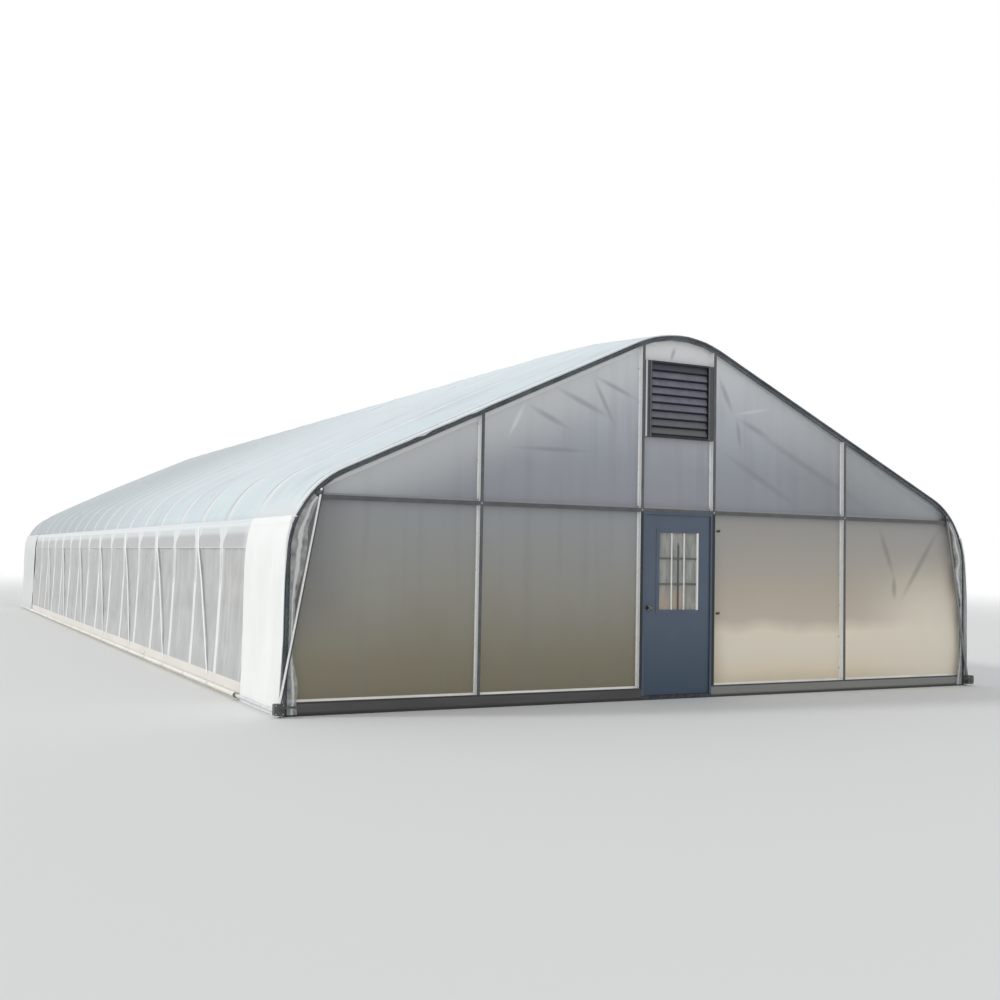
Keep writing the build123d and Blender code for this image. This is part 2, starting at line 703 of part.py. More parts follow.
with BuildPart() as rear_upper_panels:
    with BuildSketch(REAR_SHEET):
        cells(FIELDS, GIRT_TOP, TALL)
        with BuildLine():
            arch_outline(-TUBE)
        make_face(mode=Mode.INTERSECT)
    extrude(amount=PANEL)

PIECES = {
    "bow_legs": bow_legs, "bow_haunches": bow_haunches, "bow_rafters": bow_rafters,
    "bow_crowns": bow_crowns, "ridge_purlin": ridge_purlin, "side_purlins": side_purlins,
    "hip_rails": hip_rails, "shoulder_films": shoulder_films, "roof_films": roof_films,
    "ridge_film": ridge_film, "side_boards": side_boards, "right_curtain": right_curtain,
    "left_curtain": left_curtain, "side_end_films": side_end_films,
    "roll_tubes": roll_tubes, "curtain_straps": curtain_straps,
    "crank_gearboxes": crank_gearboxes, "guide_poles": guide_poles, "collar_ties": collar_ties,
    "truss_webs": truss_webs, "wind_braces": wind_braces, "front_arch_trim": front_arch_trim,
    "rear_arch_trim": rear_arch_trim, "front_sills": front_sills, "front_posts": front_posts,
    "front_girts": front_girts, "front_lower_panels": front_lower_panels,
    "front_upper_panels": front_upper_panels,
    "vent_frame": vent_frame, "vent_blades": vent_blades, "threshold": threshold,
    "door_frame": door_frame, "door_leaf": door_leaf, "lite_frame": lite_frame,
    "door_glass": door_glass, "door_bars": door_bars, "hinge_frames": hinge_frames,
    "hinge_leaves": hinge_leaves, "knob_roses": knob_roses, "door_knob": door_knob,
    "rear_sill": rear_sill, "rear_posts": rear_posts, "rear_girts": rear_girts,
    "rear_lower_panels": rear_lower_panels, "rear_upper_panels": rear_upper_panels,
}
os.makedirs("parts", exist_ok=True)
for name, piece in PIECES.items():
    piece.part.label = name
    export_step(piece.part, f"parts/{name}.step")
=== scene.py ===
from math import asin, copysign, cos, floor, hypot, pi, radians, sin

import bmesh
import bpy
from mathutils import Matrix, Vector, noise


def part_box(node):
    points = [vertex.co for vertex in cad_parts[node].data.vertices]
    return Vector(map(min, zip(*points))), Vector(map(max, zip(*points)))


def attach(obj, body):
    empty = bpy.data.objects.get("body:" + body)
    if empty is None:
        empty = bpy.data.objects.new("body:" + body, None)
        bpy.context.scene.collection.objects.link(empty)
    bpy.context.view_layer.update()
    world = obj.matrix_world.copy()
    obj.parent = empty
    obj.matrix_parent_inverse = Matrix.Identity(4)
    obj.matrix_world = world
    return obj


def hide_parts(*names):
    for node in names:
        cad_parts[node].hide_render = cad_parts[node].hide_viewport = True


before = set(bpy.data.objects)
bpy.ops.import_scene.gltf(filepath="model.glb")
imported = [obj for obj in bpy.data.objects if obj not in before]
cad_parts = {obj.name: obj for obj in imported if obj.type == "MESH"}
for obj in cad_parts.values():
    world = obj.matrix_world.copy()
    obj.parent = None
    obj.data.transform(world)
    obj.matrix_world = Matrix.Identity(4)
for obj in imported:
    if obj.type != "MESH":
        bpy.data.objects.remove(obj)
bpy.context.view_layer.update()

# Camera: at eye level in front of the door wall and to its left, as the photograph was taken,
# and turned towards the right so that the left side runs away to the far corner.
CAMERA_PLACE = Vector((-8.011, -22.5936, 1.539))
CAMERA_YAW = radians(27.46)
CAMERA_PITCH = radians(2.82)
CAMERA_ROLL = radians(1.034)
CAMERA_LENS = 42.76
bpy.ops.object.select_all(action="DESELECT")
bpy.ops.object.camera_add()
camera = bpy.context.object
camera.matrix_world = (
    Matrix.Translation(CAMERA_PLACE) @ Matrix.Rotation(-CAMERA_YAW, 4, "Z")
    @ Matrix.Rotation(pi / 2 + CAMERA_PITCH, 4, "X") @ Matrix.Rotation(CAMERA_ROLL, 4, "Z"))
camera.data.lens = CAMERA_LENS
camera.data.clip_end = 500
bpy.context.scene.camera = camera
bpy.context.scene.view_settings.view_transform = "Standard"


# Light: an even pale sky that fills the shade, and a low winter sun from behind the left side,
# so that the roof and the left side are bright and the door wall is in shade.
def node(tree, kind, sockets=None):
    """Adds a node, its sockets set to numbers and colours or joined to other nodes."""
    made = tree.nodes.new("ShaderNode" + kind)
    for name, value in (sockets or {}).items():
        if isinstance(value, bpy.types.NodeSocket):
            tree.links.new(value, made.inputs[name])
        else:
            made.inputs[name].default_value = value
    return made


def work(operation, *values):
    """One arithmetic step in a finish, on numbers and on other steps."""
    tree = next(value for value in values if isinstance(value, bpy.types.NodeSocket)).id_data
    step = node(tree, "Math", dict(enumerate(values)))
    step.operation = operation
    return step.outputs[0]


SKY_FILL = 0.70
SUN_STRENGTH = 1.05
SUN_TRAVEL = Vector((0.80, -0.25, -0.55))
SUN_SIZE = radians(9)
world = bpy.data.worlds.new("pale_sky")
bpy.context.scene.world = world
world.use_nodes = True
sky = world.node_tree
sky.nodes.clear()
rays = node(sky, "LightPath").outputs
seen = work("MAXIMUM", rays["Is Camera Ray"], rays["Is Glossy Ray"])
seen = work("MAXIMUM", seen, rays["Is Transmission Ray"])
fill = node(sky, "Background", {"Color": (0.94, 0.97, 1.0, 1), "Strength": SKY_FILL})
white = node(sky, "Background", {"Color": (1, 1, 1, 1)})
which = node(sky, "MixShader", {0: seen, 1: fill.outputs[0], 2: white.outputs[0]})
node(sky, "OutputWorld", {"Surface": which.outputs[0]})
bpy.ops.object.light_add(type="SUN", rotation=SUN_TRAVEL.to_track_quat("-Z", "Y").to_euler())
sun = bpy.context.object.data
sun.energy = SUN_STRENGTH
sun.angle = SUN_SIZE
sun.color = (1.0, 0.98, 0.94)


# Floor: a plain pale plane that keeps the building's shadow and runs out into the white.
def between(value, low, high, to_low=0.0, to_high=1.0):
    """A value spread from one range to another, smoothly and not past its ends."""
    spread = node(value.id_data, "MapRange", {"Value": value, "From Min": low, "From Max": high,
                                              "To Min": to_low, "To Max": to_high})
    spread.interpolation_type = "SMOOTHSTEP"
    return spread.outputs["Result"]


def length(vector):
    """How far a place is from the middle."""
    measured = node(vector.id_data, "VectorMath", {0: vector})
    measured.operation = "LENGTH"
    return measured.outputs["Value"]


FLOOR_SIZE = 400
FLOOR_FADE = (16.0, 60.0)
bpy.ops.object.select_all(action="DESELECT")
bpy.ops.mesh.primitive_plane_add(size=FLOOR_SIZE, location=(0, 0, -0.002))
ground = bpy.context.object
ground.name = "floor"
bpy.ops.object.transform_apply(location=True, rotation=False, scale=False)
pale = bpy.data.materials.new("pale_floor")
pale.use_nodes = True
tree = pale.node_tree
shader = tree.nodes["Principled BSDF"]
shader.inputs["Base Color"].default_value = (0.78, 0.78, 0.77, 1)
shader.inputs["Roughness"].default_value = 0.9
away = length(node(tree, "TexCoord").outputs["Object"])
to_camera = node(tree, "LightPath").outputs["Is Camera Ray"]
shown = work("MULTIPLY", between(away, *FLOOR_FADE), to_camera)
glow = node(tree, "Emission")
blend = node(tree, "MixShader", {0: shown, 1: shader.outputs[0], 2: glow.outputs[0]})
tree.links.new(blend.outputs[0], tree.nodes["Material Output"].inputs["Surface"])
ground.data.materials.append(pale)


# Bows: twenty frames of bent galvanised square tube, each a pair of legs, two bent haunches,
# two straight rafters and a crown. The parts push into each other and are held at every joint
# by a pair of self-drilling screws, driven from inside so that no head touches the film.
def clouds(made, size, detail, kind="Object", stretch=(1, 1, 1), turned=0.0, distortion=0.0):
    """Noise over the object or over its unrolled sheet, drawn out by a stretch."""
    tree = made.node_tree
    place = node(tree, "Mapping", {"Vector": node(tree, "TexCoord").outputs[kind],
                                   "Rotation": (0, 0, turned), "Scale": stretch})
    noisy = node(tree, "TexNoise", {"Vector": place.outputs["Vector"], "Scale": size,
                                    "Detail": detail, "Distortion": distortion})
    return noisy.outputs["Fac"]


def stand_out(made, height, deep):
    """Lets a height stand out of a finish as relief."""
    tree = made.node_tree
    relief = node(tree, "Bump", {"Height": height, "Distance": deep})
    tree.links.new(relief.outputs["Normal"], tree.nodes["Principled BSDF"].inputs["Normal"])


def coat(name, base, shade, patch, rough, metallic=0.0, bump=0.0, fine=8.0, stretch=(1, 1, 1),
         alpha=1.0):
    """A finish whose colour and gloss wander between two tones over patches of one size."""
    made = bpy.data.materials.new(name)
    made.use_nodes = True
    tree = made.node_tree
    shader = tree.nodes["Principled BSDF"]
    shader.inputs["Metallic"].default_value = metallic
    shader.inputs["Alpha"].default_value = alpha
    spots = clouds(made, 1 / patch, 6, stretch=stretch)
    tones = node(tree, "ValToRGB", {"Fac": spots})
    dark, light = tones.color_ramp.elements
    dark.position, light.position = 0.32, 0.68
    dark.color, light.color = (*shade, 1), (*base, 1)
    polish = node(tree, "MapRange", {"Value": spots, "To Min": rough[0], "To Max": rough[1]})
    tree.links.new(tones.outputs["Color"], shader.inputs["Base Color"])
    tree.links.new(polish.outputs["Result"], shader.inputs["Roughness"])
    if bump:
        stand_out(made, clouds(made, fine / patch, 3, stretch=stretch), bump)
    return made


def paint(made, *nodes):
    """Gives CAD nodes their finish."""
    for name in nodes:
        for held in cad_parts[name].material_slots:
            held.material = made


def choose(test):
    """In edit mode, selects only the faces whose centre and normal pass a test."""
    bpy.ops.mesh.select_mode(type="FACE")
    bpy.ops.mesh.select_all(action="DESELECT")
    bpy.ops.object.mode_set(mode="OBJECT")
    for face in bpy.context.object.data.polygons:
        face.select = test(face.center, face.normal)
    bpy.ops.object.mode_set(mode="EDIT")


def draw_out(x, y, z):
    """In edit mode, draws the chosen faces out of the rest."""
    bpy.ops.mesh.extrude_region_move(TRANSFORM_OT_translate={"value": (x, y, z)})


def screw_head(name, washer, head, thick, tall):
    """A screw head on its washer, standing on the ground plane with its axis along Z."""
    bpy.ops.object.select_all(action="DESELECT")
    bpy.ops.mesh.primitive_cylinder_add(vertices=8, radius=washer, depth=thick,
                                        location=(0, 0, thick / 2))
    made = bpy.context.object
    made.name = name
    bpy.ops.object.transform_apply(location=True, rotation=False, scale=False)
    bpy.ops.object.mode_set(mode="EDIT")
    choose(lambda centre, normal: normal.z > 0.9)
    bpy.ops.mesh.inset(thickness=washer - head)
    draw_out(0, 0, tall)
    bpy.ops.mesh.inset(thickness=head * 0.2, depth=head * 0.12)
    bpy.ops.object.mode_set(mode="OBJECT")
    return made


def copies(name, master, places, finish):
    """Sets copies of a finished master at their places, joined as one piece, and drops it."""
    joined = bmesh.new()
    for spot in places:
        shape = master.data.copy()
        shape.transform(spot)
        joined.from_mesh(shape)
        bpy.data.meshes.remove(shape)
    mesh = bpy.data.meshes.new(name)
    joined.to_mesh(mesh)
    joined.free()
    mesh.materials.append(finish)
    piece = bpy.data.objects.new(name, mesh)
    bpy.context.scene.collection.objects.link(piece)
    bpy.data.objects.remove(master)
    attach(piece, "greenhouse")
    return piece


def facing(direction, spot):
    """Turns a master's Z to a direction and puts it at a spot."""
    turned = Vector(direction).to_track_quat("Z", "Y").to_matrix().to_4x4()
    return Matrix.Translation(spot) @ turned


TUBE = 0.042
BAYS = 19
HAUNCH_R = 0.950
CROWN_R = 1.400
PITCH = radians(24.8)
legs_low, legs_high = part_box("bow_legs")
first_bow = legs_low[1] + TUBE / 2
bay = (legs_high[1] - legs_low[1] - TUBE) / BAYS
bow_places = [first_bow + i * bay for i in range(BAYS + 1)]
front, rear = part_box("front_posts")[0][1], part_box("rear_posts")[1][1]
leg_x, spring_z = legs_high[0], legs_high[2]
haunch_x = leg_x - HAUNCH_R
crown_z = (sin(PITCH) * haunch_x + cos(PITCH) * spring_z + HAUNCH_R - CROWN_R) / cos(PITCH)
crown_run = CROWN_R * PITCH
rafter_run = (haunch_x + (HAUNCH_R - CROWN_R) * sin(PITCH)) / cos(PITCH)
rafter_end = crown_run + rafter_run
leg_top_run = rafter_end + HAUNCH_R * (pi / 2 - PITCH)


def over_bows(run, out=0.0):
    """The place on the bows' outer line at a run from the ridge, right positive, moved out."""
    far = abs(run)
    if far < crown_run:
        turn = far / CROWN_R
        x, z = (CROWN_R + out) * sin(turn), crown_z + (CROWN_R + out) * cos(turn)
    elif far < rafter_end:
        far -= crown_run
        x = (CROWN_R + out) * sin(PITCH) + far * cos(PITCH)
        z = crown_z + (CROWN_R + out) * cos(PITCH) - far * sin(PITCH)
    elif far < leg_top_run:
        turn = PITCH + (far - rafter_end) / HAUNCH_R
        x, z = haunch_x + (HAUNCH_R + out) * sin(turn), spring_z + (HAUNCH_R + out) * cos(turn)
    else:
        x, z = leg_x + out, spring_z - (far - leg_top_run)
    return copysign(x, run), z


def run_at(x):
    """The run from the ridge to where the slope is x from the middle."""
    return crown_run + (x - CROWN_R * sin(PITCH)) / cos(PITCH)


galvanised = coat("galvanised_tube", (0.78, 0.79, 0.80), (0.62, 0.64, 0.66), 0.05, (0.32, 0.50),
                  metallic=0.25, bump=0.0003, stretch=(1, 0.4, 1))
paint(galvanised, "bow_legs", "bow_haunches", "bow_rafters", "bow_crowns")
screw_zinc = coat("zinc_screws", (0.60, 0.60, 0.58), (0.42, 0.42, 0.41), 0.004, (0.3, 0.45),
                  metallic=0.8)
SCREW_OFF = 0.045
joint_runs = [side * (run + off) for run in (crown_run, rafter_end, leg_top_run)
              for off in (-SCREW_OFF, SCREW_OFF) for side in (1, -1)]
joint_spots = []
for y in bow_places:
    for run in joint_runs:
        x, z = over_bows(run, -TUBE)
        outer_x, outer_z = over_bows(run)
        joint_spots.append(facing((x - outer_x, 0, z - outer_z), (x, y, z)))
copies("bow_screws", screw_head("bow_screw", 0.009, 0.006, 0.003, 0.005), joint_spots, screw_zinc)


# Purlins: square tubes along the ridge and two on each slope, each hung under every bow in a
# bent strap clamp.
def block(centre, size):
    """A plain block in edit mode, ready to be shaped."""
    bpy.ops.object.select_all(action="DESELECT")
    bpy.ops.mesh.primitive_cube_add(size=1, location=centre, scale=size)
    bpy.ops.object.transform_apply(location=True, rotation=False, scale=True)
    bpy.ops.object.mode_set(mode="EDIT")
    return bpy.context.object


def split(at, across):
    """In edit mode, cuts every face along a plane."""
    bpy.ops.mesh.select_all(action="SELECT")
    bpy.ops.mesh.bisect(plane_co=at, plane_no=across)


paint(galvanised, "ridge_purlin", "side_purlins")
PURLIN = 0.034
PURLIN_XS = (1.630, 3.030)
CLAMP_WIDE = 0.030
CLAMP_THICK = 0.003
clamp = block((0, 0, -CLAMP_THICK / 2), (PURLIN + 2 * CLAMP_THICK, CLAMP_WIDE, CLAMP_THICK))
for side in (1, -1):
    split((side * PURLIN / 2, 0, 0), (1, 0, 0))
choose(lambda centre, normal: normal.z > 0.9 and abs(centre.x) > PURLIN / 2)
draw_out(0, 0, PURLIN + 0.012)
bpy.ops.object.mode_set(mode="OBJECT")
clamp_spots = []
ridge_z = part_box("ridge_purlin")[0][2]
for y in bow_places[1:-1]:
    clamp_spots.append(Matrix.Translation((0, y, ridge_z)))
    for x, side in [(x, side) for x in PURLIN_XS for side in (1, -1)]:
        across, high = over_bows(side * run_at(x), -TUBE - PURLIN)
        sloping = Matrix.Rotation(side * PITCH, 4, "Y")
        clamp_spots.append(Matrix.Translation((across, y, high)) @ sloping)
copies("purlin_clamps", clamp, clamp_spots, galvanised)

# Trusses and wind braces: a collar tie and two webs on every second bow, and a brace inside
# each corner, with flattened ends bolted through.
paint(galvanised, "collar_ties", "truss_webs", "wind_braces")
tie_high, web_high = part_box("collar_ties")[1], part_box("truss_webs")[1]
TIE = 0.034
bolt_places = ((tie_high[0] - 0.090, tie_high[2] - TIE / 2), (0.900, tie_high[2] - TIE / 2),
               (web_high[0] - TIE * 1.1, web_high[2] - 0.060))
bolt_spots = [facing((0, face, 0), (side * x, y + face * TIE / 2, z))
              for y in bow_places[1:BAYS:2] for face in (1, -1) for side in (1, -1)
              for x, z in bolt_places]
copies("truss_bolts", screw_head("truss_bolt", 0.011, 0.008, 0.002, 0.006), bolt_spots, screw_zinc)

# Hip rails: an aluminium lock channel screwed to the bows along each side. Roof film is held in
# its groove by a zigzag spring wire, which is pushed in by hand from one end to the other.
mill_rail = coat("mill_rail", (0.90, 0.92, 0.93), (0.80, 0.82, 0.84), 0.12, (0.3, 0.5),
                 metallic=0.2, bump=0.0005, stretch=(1, 0.5, 1))
paint(mill_rail, "hip_rails")
rail_low, rail_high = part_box("hip_rails")
RAIL_HALF = 0.030
RAIL_OUT = 0.0226
hip_turn = asin(((rail_low[2] + rail_high[2]) / 2 - spring_z) / (HAUNCH_R + 0.0125))
hip_run = leg_top_run - HAUNCH_R * hip_turn
WIRE_R = 0.0012
WIRE_WAVE = 0.0375
WIRE_SWING = 0.0065
spring_wire = coat("spring_wire", (0.50, 0.52, 0.53), (0.36, 0.37, 0.39), 0.02, (0.25, 0.4),
                   metallic=0.7)


def lock_wire(name, points):
    """A zigzag wire through points, four-sided, as one rigid piece."""
    curve = bpy.data.curves.new(name, "CURVE")
    curve.dimensions = "3D"
    curve.bevel_depth = WIRE_R
    curve.bevel_resolution = 0
    curve.use_fill_caps = True
    line = curve.splines.new("POLY")
    line.points.add(len(points) - 1)
    for spot, point in zip(line.points, points):
        spot.co = (*point, 1)
    piece = bpy.data.objects.new(name, curve)
    bpy.context.scene.collection.objects.link(piece)
    bpy.ops.object.select_all(action="DESELECT")
    bpy.context.view_layer.objects.active = piece
    piece.select_set(True)
    bpy.ops.object.convert(target="MESH")
    piece.data.materials.append(spring_wire)
    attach(piece, "greenhouse")


for side, name in ((1, "right_lock_wire"), (-1, "left_lock_wire")):
    points = []
    for i in range(int((rear - front - 0.06) / WIRE_WAVE)):
        x, z = over_bows(side * (hip_run + (-1) ** i * WIRE_SWING), RAIL_OUT - 0.0060)
        points.append((x, front + 0.03 + i * WIRE_WAVE, z))
    lock_wire(name, points)


# Roof cover: double greenhouse film from hip to hip with air blown in between, so that it stands
# up off the bows away from the ends and dips a little between them at the haunches. It is turned
# over the end bows into the lock channel, and its edge hangs free below the hip rail.
def between_bows(y):
    """0 on a bow's face, rising to 1 in the middle of a bay."""
    share = (y - first_bow) / bay
    share -= floor(share)
    edge = TUBE / 2 / bay
    inner = min(max((share - edge) / (1 - 2 * edge), 0.0), 1.0)
    return 4 * inner * (1 - inner)


def ease(value):
    """From 0 to 1, level at both ends."""
    value = min(max(value, 0.0), 1.0)
    return value * value * (3 - 2 * value)


def film_mesh(name, ys, runs, point, *finishes):
    """One sheet as a grid: a row for each y, a column for each run, at point(y, run)."""
    corners = [point(y, run) for y in ys for run in runs]
    wide = len(runs)
    faces = [(i * wide + j, i * wide + j + 1, (i + 1) * wide + j + 1, (i + 1) * wide + j)
             for i in range(len(ys) - 1) for j in range(wide - 1)]
    mesh = bpy.data.meshes.new(name)
    mesh.from_pydata(corners, [], faces)
    unrolled = mesh.uv_layers.new(name="unrolled")
    for loop in mesh.loops:
        row, column = divmod(loop.vertex_index, wide)
        unrolled.data[loop.index].uv = (ys[row], runs[column])
    mesh.polygons.foreach_set("use_smooth", [True] * len(faces))
    piece = bpy.data.objects.new(name, mesh)
    bpy.context.scene.collection.objects.link(piece)
    for finish in finishes:
        mesh.materials.append(finish)
    return piece


def film(name, clear, milky, alpha, crease, crease_size, patch=0.9, rough=(0.22, 0.40)):
    """Greenhouse film: milky tones, and creases that run down the sheet."""
    made = coat(name, clear, milky, patch, rough, alpha=alpha)
    stand_out(made, clouds(made, 1 / crease_size, 4, "UV", (1, 0.25, 1), distortion=0.6), crease)
    return made


def apart(value, centre):
    """How far a value is from a centre, either way."""
    return work("ABSOLUTE", work("SUBTRACT", value, centre))


def where(made, kind="Object"):
    """The x, y and z of a place on the object, of its normal, or of its unrolled sheet."""
    tree = made.node_tree
    return node(tree, "SeparateXYZ", {0: node(tree, "TexCoord").outputs[kind]}).outputs


def lay_over(made, colour, *shares):
    """Lays a colour over what the finish has so far, as far as the product of its shares. A share
    is a step, or a step with the values it has where the colour starts and where it is full."""
    tree = made.node_tree
    base = tree.nodes["Principled BSDF"].inputs["Base Color"]
    steps = [between(*share) if isinstance(share, tuple) else share for share in shares]
    whole = steps[0]
    for step in steps[1:]:
        whole = work("MULTIPLY", whole, step)
    over = (*colour, 1) if isinstance(colour, tuple) else colour
    mixed = node(tree, "MixRGB", {"Color1": base.links[0].from_socket, "Color2": over,
                                  "Fac": whole})
    tree.links.new(mixed.outputs["Color"], base)


def on_sheet(made):
    """For a finish on unrolled film: the run past the hip rail, and the distance past a bow."""
    along, down = where(made, "UV")[:2]
    bays = work("ADD", work("DIVIDE", work("SUBTRACT", along, first_bow), bay), 0.5)
    past_bow = work("MULTIPLY", work("SUBTRACT", work("FRACT", bays), 0.5), bay)
    return work("SUBTRACT", work("ABSOLUTE", down), hip_run), past_bow


FILM_OUT = 0.0015
AIR = 0.125
AIR_RAMPS = (2.3, 1.5)
BAY_STEPS = 12
LIP = (0.004, 0.009, 0.015, 0.022, 0.030)
SKIRT = 0.28
SLOPE_COLUMNS = 56
RAIL_COLUMNS = (-0.045, -0.038, -0.031, -0.022, -0.013, -0.008, 0.0, 0.008, 0.013, 0.022, 0.031,
                0.040, 0.060, 0.090, 0.130, 0.170, 0.210, 0.245, SKIRT)
RAIL_OUTS = ((-0.045, 0.0020), (-0.031, 0.0255), (-0.013, 0.0255), (-0.008, 0.0215),
             (0.008, 0.0215), (0.013, 0.0255), (0.031, 0.0255), (0.060, 0.0170), (0.140, 0.0060),
             (SKIRT, 0.0035))


def out_at_rail(past):
    """How far the roof film stands out of the bows' line, by the run past the rail's middle."""
    for (a, low), (b, high) in zip(RAIL_OUTS, RAIL_OUTS[1:]):
        if past <= b:
            return low + (high - low) * max(0.0, past - a) / (b - a)
    return RAIL_OUTS[-1][1]


def roof_point(y, run):
    far = abs(run)
    past = far - hip_run
    if past > -0.046:
        waves = 0.003 * noise.noise((y * 6.0, run, 4.4)) * ease((past - 0.05) / 0.1)
        x, z = over_bows(run, out_at_rail(past) + abs(waves * between_bows(y)))
        turned = 0.12 * (y - min(max(y, front), rear))
        return x, min(max(y, front), rear) + turned, z
    if y < front or y > rear:
        torn = 0.15 + 0.10 * noise.noise((run * 9.0, 0.5, 2.5))
        if run < 0:
            ragged = ease(1 - abs(far - 3.3) / 0.9)
            torn = 0.45 + 2.4 * ragged * max(0.0, noise.noise((run * 8.0, 3.1, 0.2)) - 0.12)
        over = front - y if y < front else y - rear
        x, z = over_bows(run, FILM_OUT - max(0.0, over * torn - 0.002))
        return x, (front - 0.0022 if y < front else rear + 0.0022), z
    from_end = min(1.0, (y - front) / AIR_RAMPS[0], (rear - y) / AIR_RAMPS[1])
    blown = AIR * (1 - (1 - from_end) ** 2) * (1 - (far / hip_run) ** 4)
    low_down = ease((far - crown_run) / rafter_run - 0.35)
    drawn = (0.006 + 0.026 * low_down) * between_bows(y) * min(1.0, -past / 0.25)
    ripple = 0.003 * noise.noise((y * 1.7, run * 0.6, 1.7)) * min(1.0, from_end * 3)
    x, z = over_bows(run, FILM_OUT + blown - drawn * (1.15 - from_end * 0.35) + ripple)
    return x, y, z


roof_film = film("roof_film", (0.87, 0.97, 1.00), (0.80, 0.91, 0.96), 0.80, 0.005, 0.30)
roof_film.node_tree.nodes["Principled BSDF"].inputs["Specular IOR Level"].default_value = 0.04
along = where(roof_film, "UV")[0]
past, past_bow = on_sheet(roof_film)
streaks = clouds(roof_film, 1.0, 3, "UV", (3.0, 0.8, 1), radians(3))
lay_over(roof_film, (0.64, 0.71, 0.76), (streaks, 0.50, 0.76, 0.0, 0.45))
low_down = between(past, crown_run + 0.1 - hip_run, rafter_end - hip_run, 0.25, 1.0)
# Painted shade: the film darkens towards the far end, where it is seen at a grazing angle.
lay_over(roof_film, (0.48, 0.53, 0.56), (along, -8.0, 5.0, 0.0, 0.80))
# Painted shade: a darker band along the ridge.
lay_over(roof_film, (0.52, 0.58, 0.62), (past, 0.80 - hip_run, 0.10 - hip_run, 0.0, 0.35))
# Painted shadow: a dark line on the far side of each bow, low on the slopes, for the tube's shaded
# face.
lay_over(roof_film, (0.40, 0.45, 0.49), (apart(past_bow, 0.125), 0.050, 0.018), low_down,
         (past, 0.0, -0.5, 0.0, 0.90))
lay_over(roof_film, (0.98, 0.99, 1.0), (work("ABSOLUTE", past_bow), 0.098, 0.050), low_down,
         (along, -6.0, 6.0, 1.0, 0.55))
below_rail = between(past, 0.044, 0.054)
lay_over(roof_film, (0.84, 0.88, 0.89), below_rail)
lay_over(roof_film, (0.63, 0.64, 0.64), (past, 0.08, 0.15))
lay_over(roof_film, (0.74, 0.76, 0.76), (past, SKIRT - 0.020, SKIRT - 0.008))
corners = work("SUBTRACT", work("ABSOLUTE", past_bow), between(past, 0.22, 0.06, 0.045, 0.160))
lay_over(roof_film, (0.95, 0.97, 0.97), (corners, 0.050, 0.004), below_rail)
lay_over(roof_film, (0.96, 0.99, 1.0), (past, -0.056, -0.046), (past, 0.054, 0.044))
lay_over(roof_film, (0.93, 0.98, 1.0), (past, -0.45, -0.06), (along, front + 1.7, front + 1.2))
SEAM_Y = 9.15
seam_end = rafter_end + 0.3 - hip_run
lay_over(roof_film, (0.16, 0.18, 0.20), (apart(along, SEAM_Y), 0.075, 0.030),
         (past, crown_run + 0.6 * rafter_run - hip_run, seam_end, 0.0, 0.8))

ys = {front, rear}
for y in bow_places:
    ys |= {y - TUBE / 2, y, y + TUBE / 2, y + 0.05}
    ys |= {y + bay * (i + 0.5) / BAY_STEPS for i in range(1, BAY_STEPS)}
roof_ys = [front - lip for lip in reversed(LIP)]
roof_ys += sorted({round(y, 5) for y in ys if front <= y <= rear})
roof_ys += [rear + lip for lip in LIP]
half_runs = [(hip_run - 0.045) * i / SLOPE_COLUMNS for i in range(SLOPE_COLUMNS)]
half_runs += [hip_run + past for past in RAIL_COLUMNS]
roof_runs = [-run for run in reversed(half_runs[1:])] + half_runs
roof = film_mesh("roof_cover", roof_ys, roof_runs, roof_point, roof_film)
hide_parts("shoulder_films", "roof_films", "ridge_film")
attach(roof, "greenhouse")


# Side boards: long softwood boards on edge along the legs, painted pale, butted end to end on
# a leg and screwed to every one from inside.
def repeat(value, step):
    """How far a value is into a pattern that repeats by a step, from 0 to 1."""
    return work("FRACT", work("DIVIDE", value, step))


board_paint = coat("pale_board", (0.86, 0.80, 0.72), (0.72, 0.66, 0.57), 0.35, (0.55, 0.8),
                   bump=0.001, fine=20, stretch=(6, 0.5, 6))
BOARD_LONG = 3 * bay
BOARD_SCREW_ZS = (0.050, 0.140)
joints = repeat(work("SUBTRACT", where(board_paint)[1], first_bow - BOARD_LONG / 2), BOARD_LONG)
lay_over(board_paint, (0.10, 0.09, 0.08), (apart(joints, 0.5), 0.0014, 0.0006))
paint(board_paint, "side_boards")
board_x, _, board_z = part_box("side_boards")[1]
board_spots = [facing((-side, 0, 0), (side * (leg_x - TUBE), y, z))
               for y in bow_places for side in (1, -1) for z in BOARD_SCREW_ZS]
copies("board_screws", screw_head("board_screw", 0.010, 0.0065, 0.003, 0.005), board_spots,
       screw_zinc)

# Curtains: the roll-up sides of single woven film. Each hangs from under the hip rail over the
# legs and the board, with loose upright folds between the bows, and winds round its roll tube.
free_film = film("curtain_film", (0.70, 0.705, 0.70), (0.56, 0.565, 0.555), 0.79, 0.010, 0.09,
                 patch=0.35)
for slant, thin in ((radians(14), 9), (radians(-10), 14)):
    streaks = clouds(free_film, 1.0, 3, "UV", (thin, 0.8, 1), slant)
    lay_over(free_film, (0.86, 0.87, 0.86), (streaks, 0.55, 0.72, 0.0, 0.5))
past, past_bow = on_sheet(free_film)
corners = work("SUBTRACT", work("ABSOLUTE", past_bow), between(past, 0.40, 0.06, 0.040, 0.120))
lay_over(free_film, (0.93, 0.94, 0.93), (corners, 0.045, 0.004))
on_bow = film("curtain_on_bow", (0.98, 0.99, 0.98), (0.93, 0.94, 0.93), 0.96, 0.002, 0.10)
on_board = film("curtain_on_board", (0.97, 0.925, 0.87), (0.89, 0.84, 0.78), 0.95, 0.004, 0.10)
on_tube = film("curtain_on_tube", (0.95, 0.93, 0.87), (0.84, 0.82, 0.75), 1.0, 0.003, 0.05)
curtain_low, curtain_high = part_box("right_curtain")
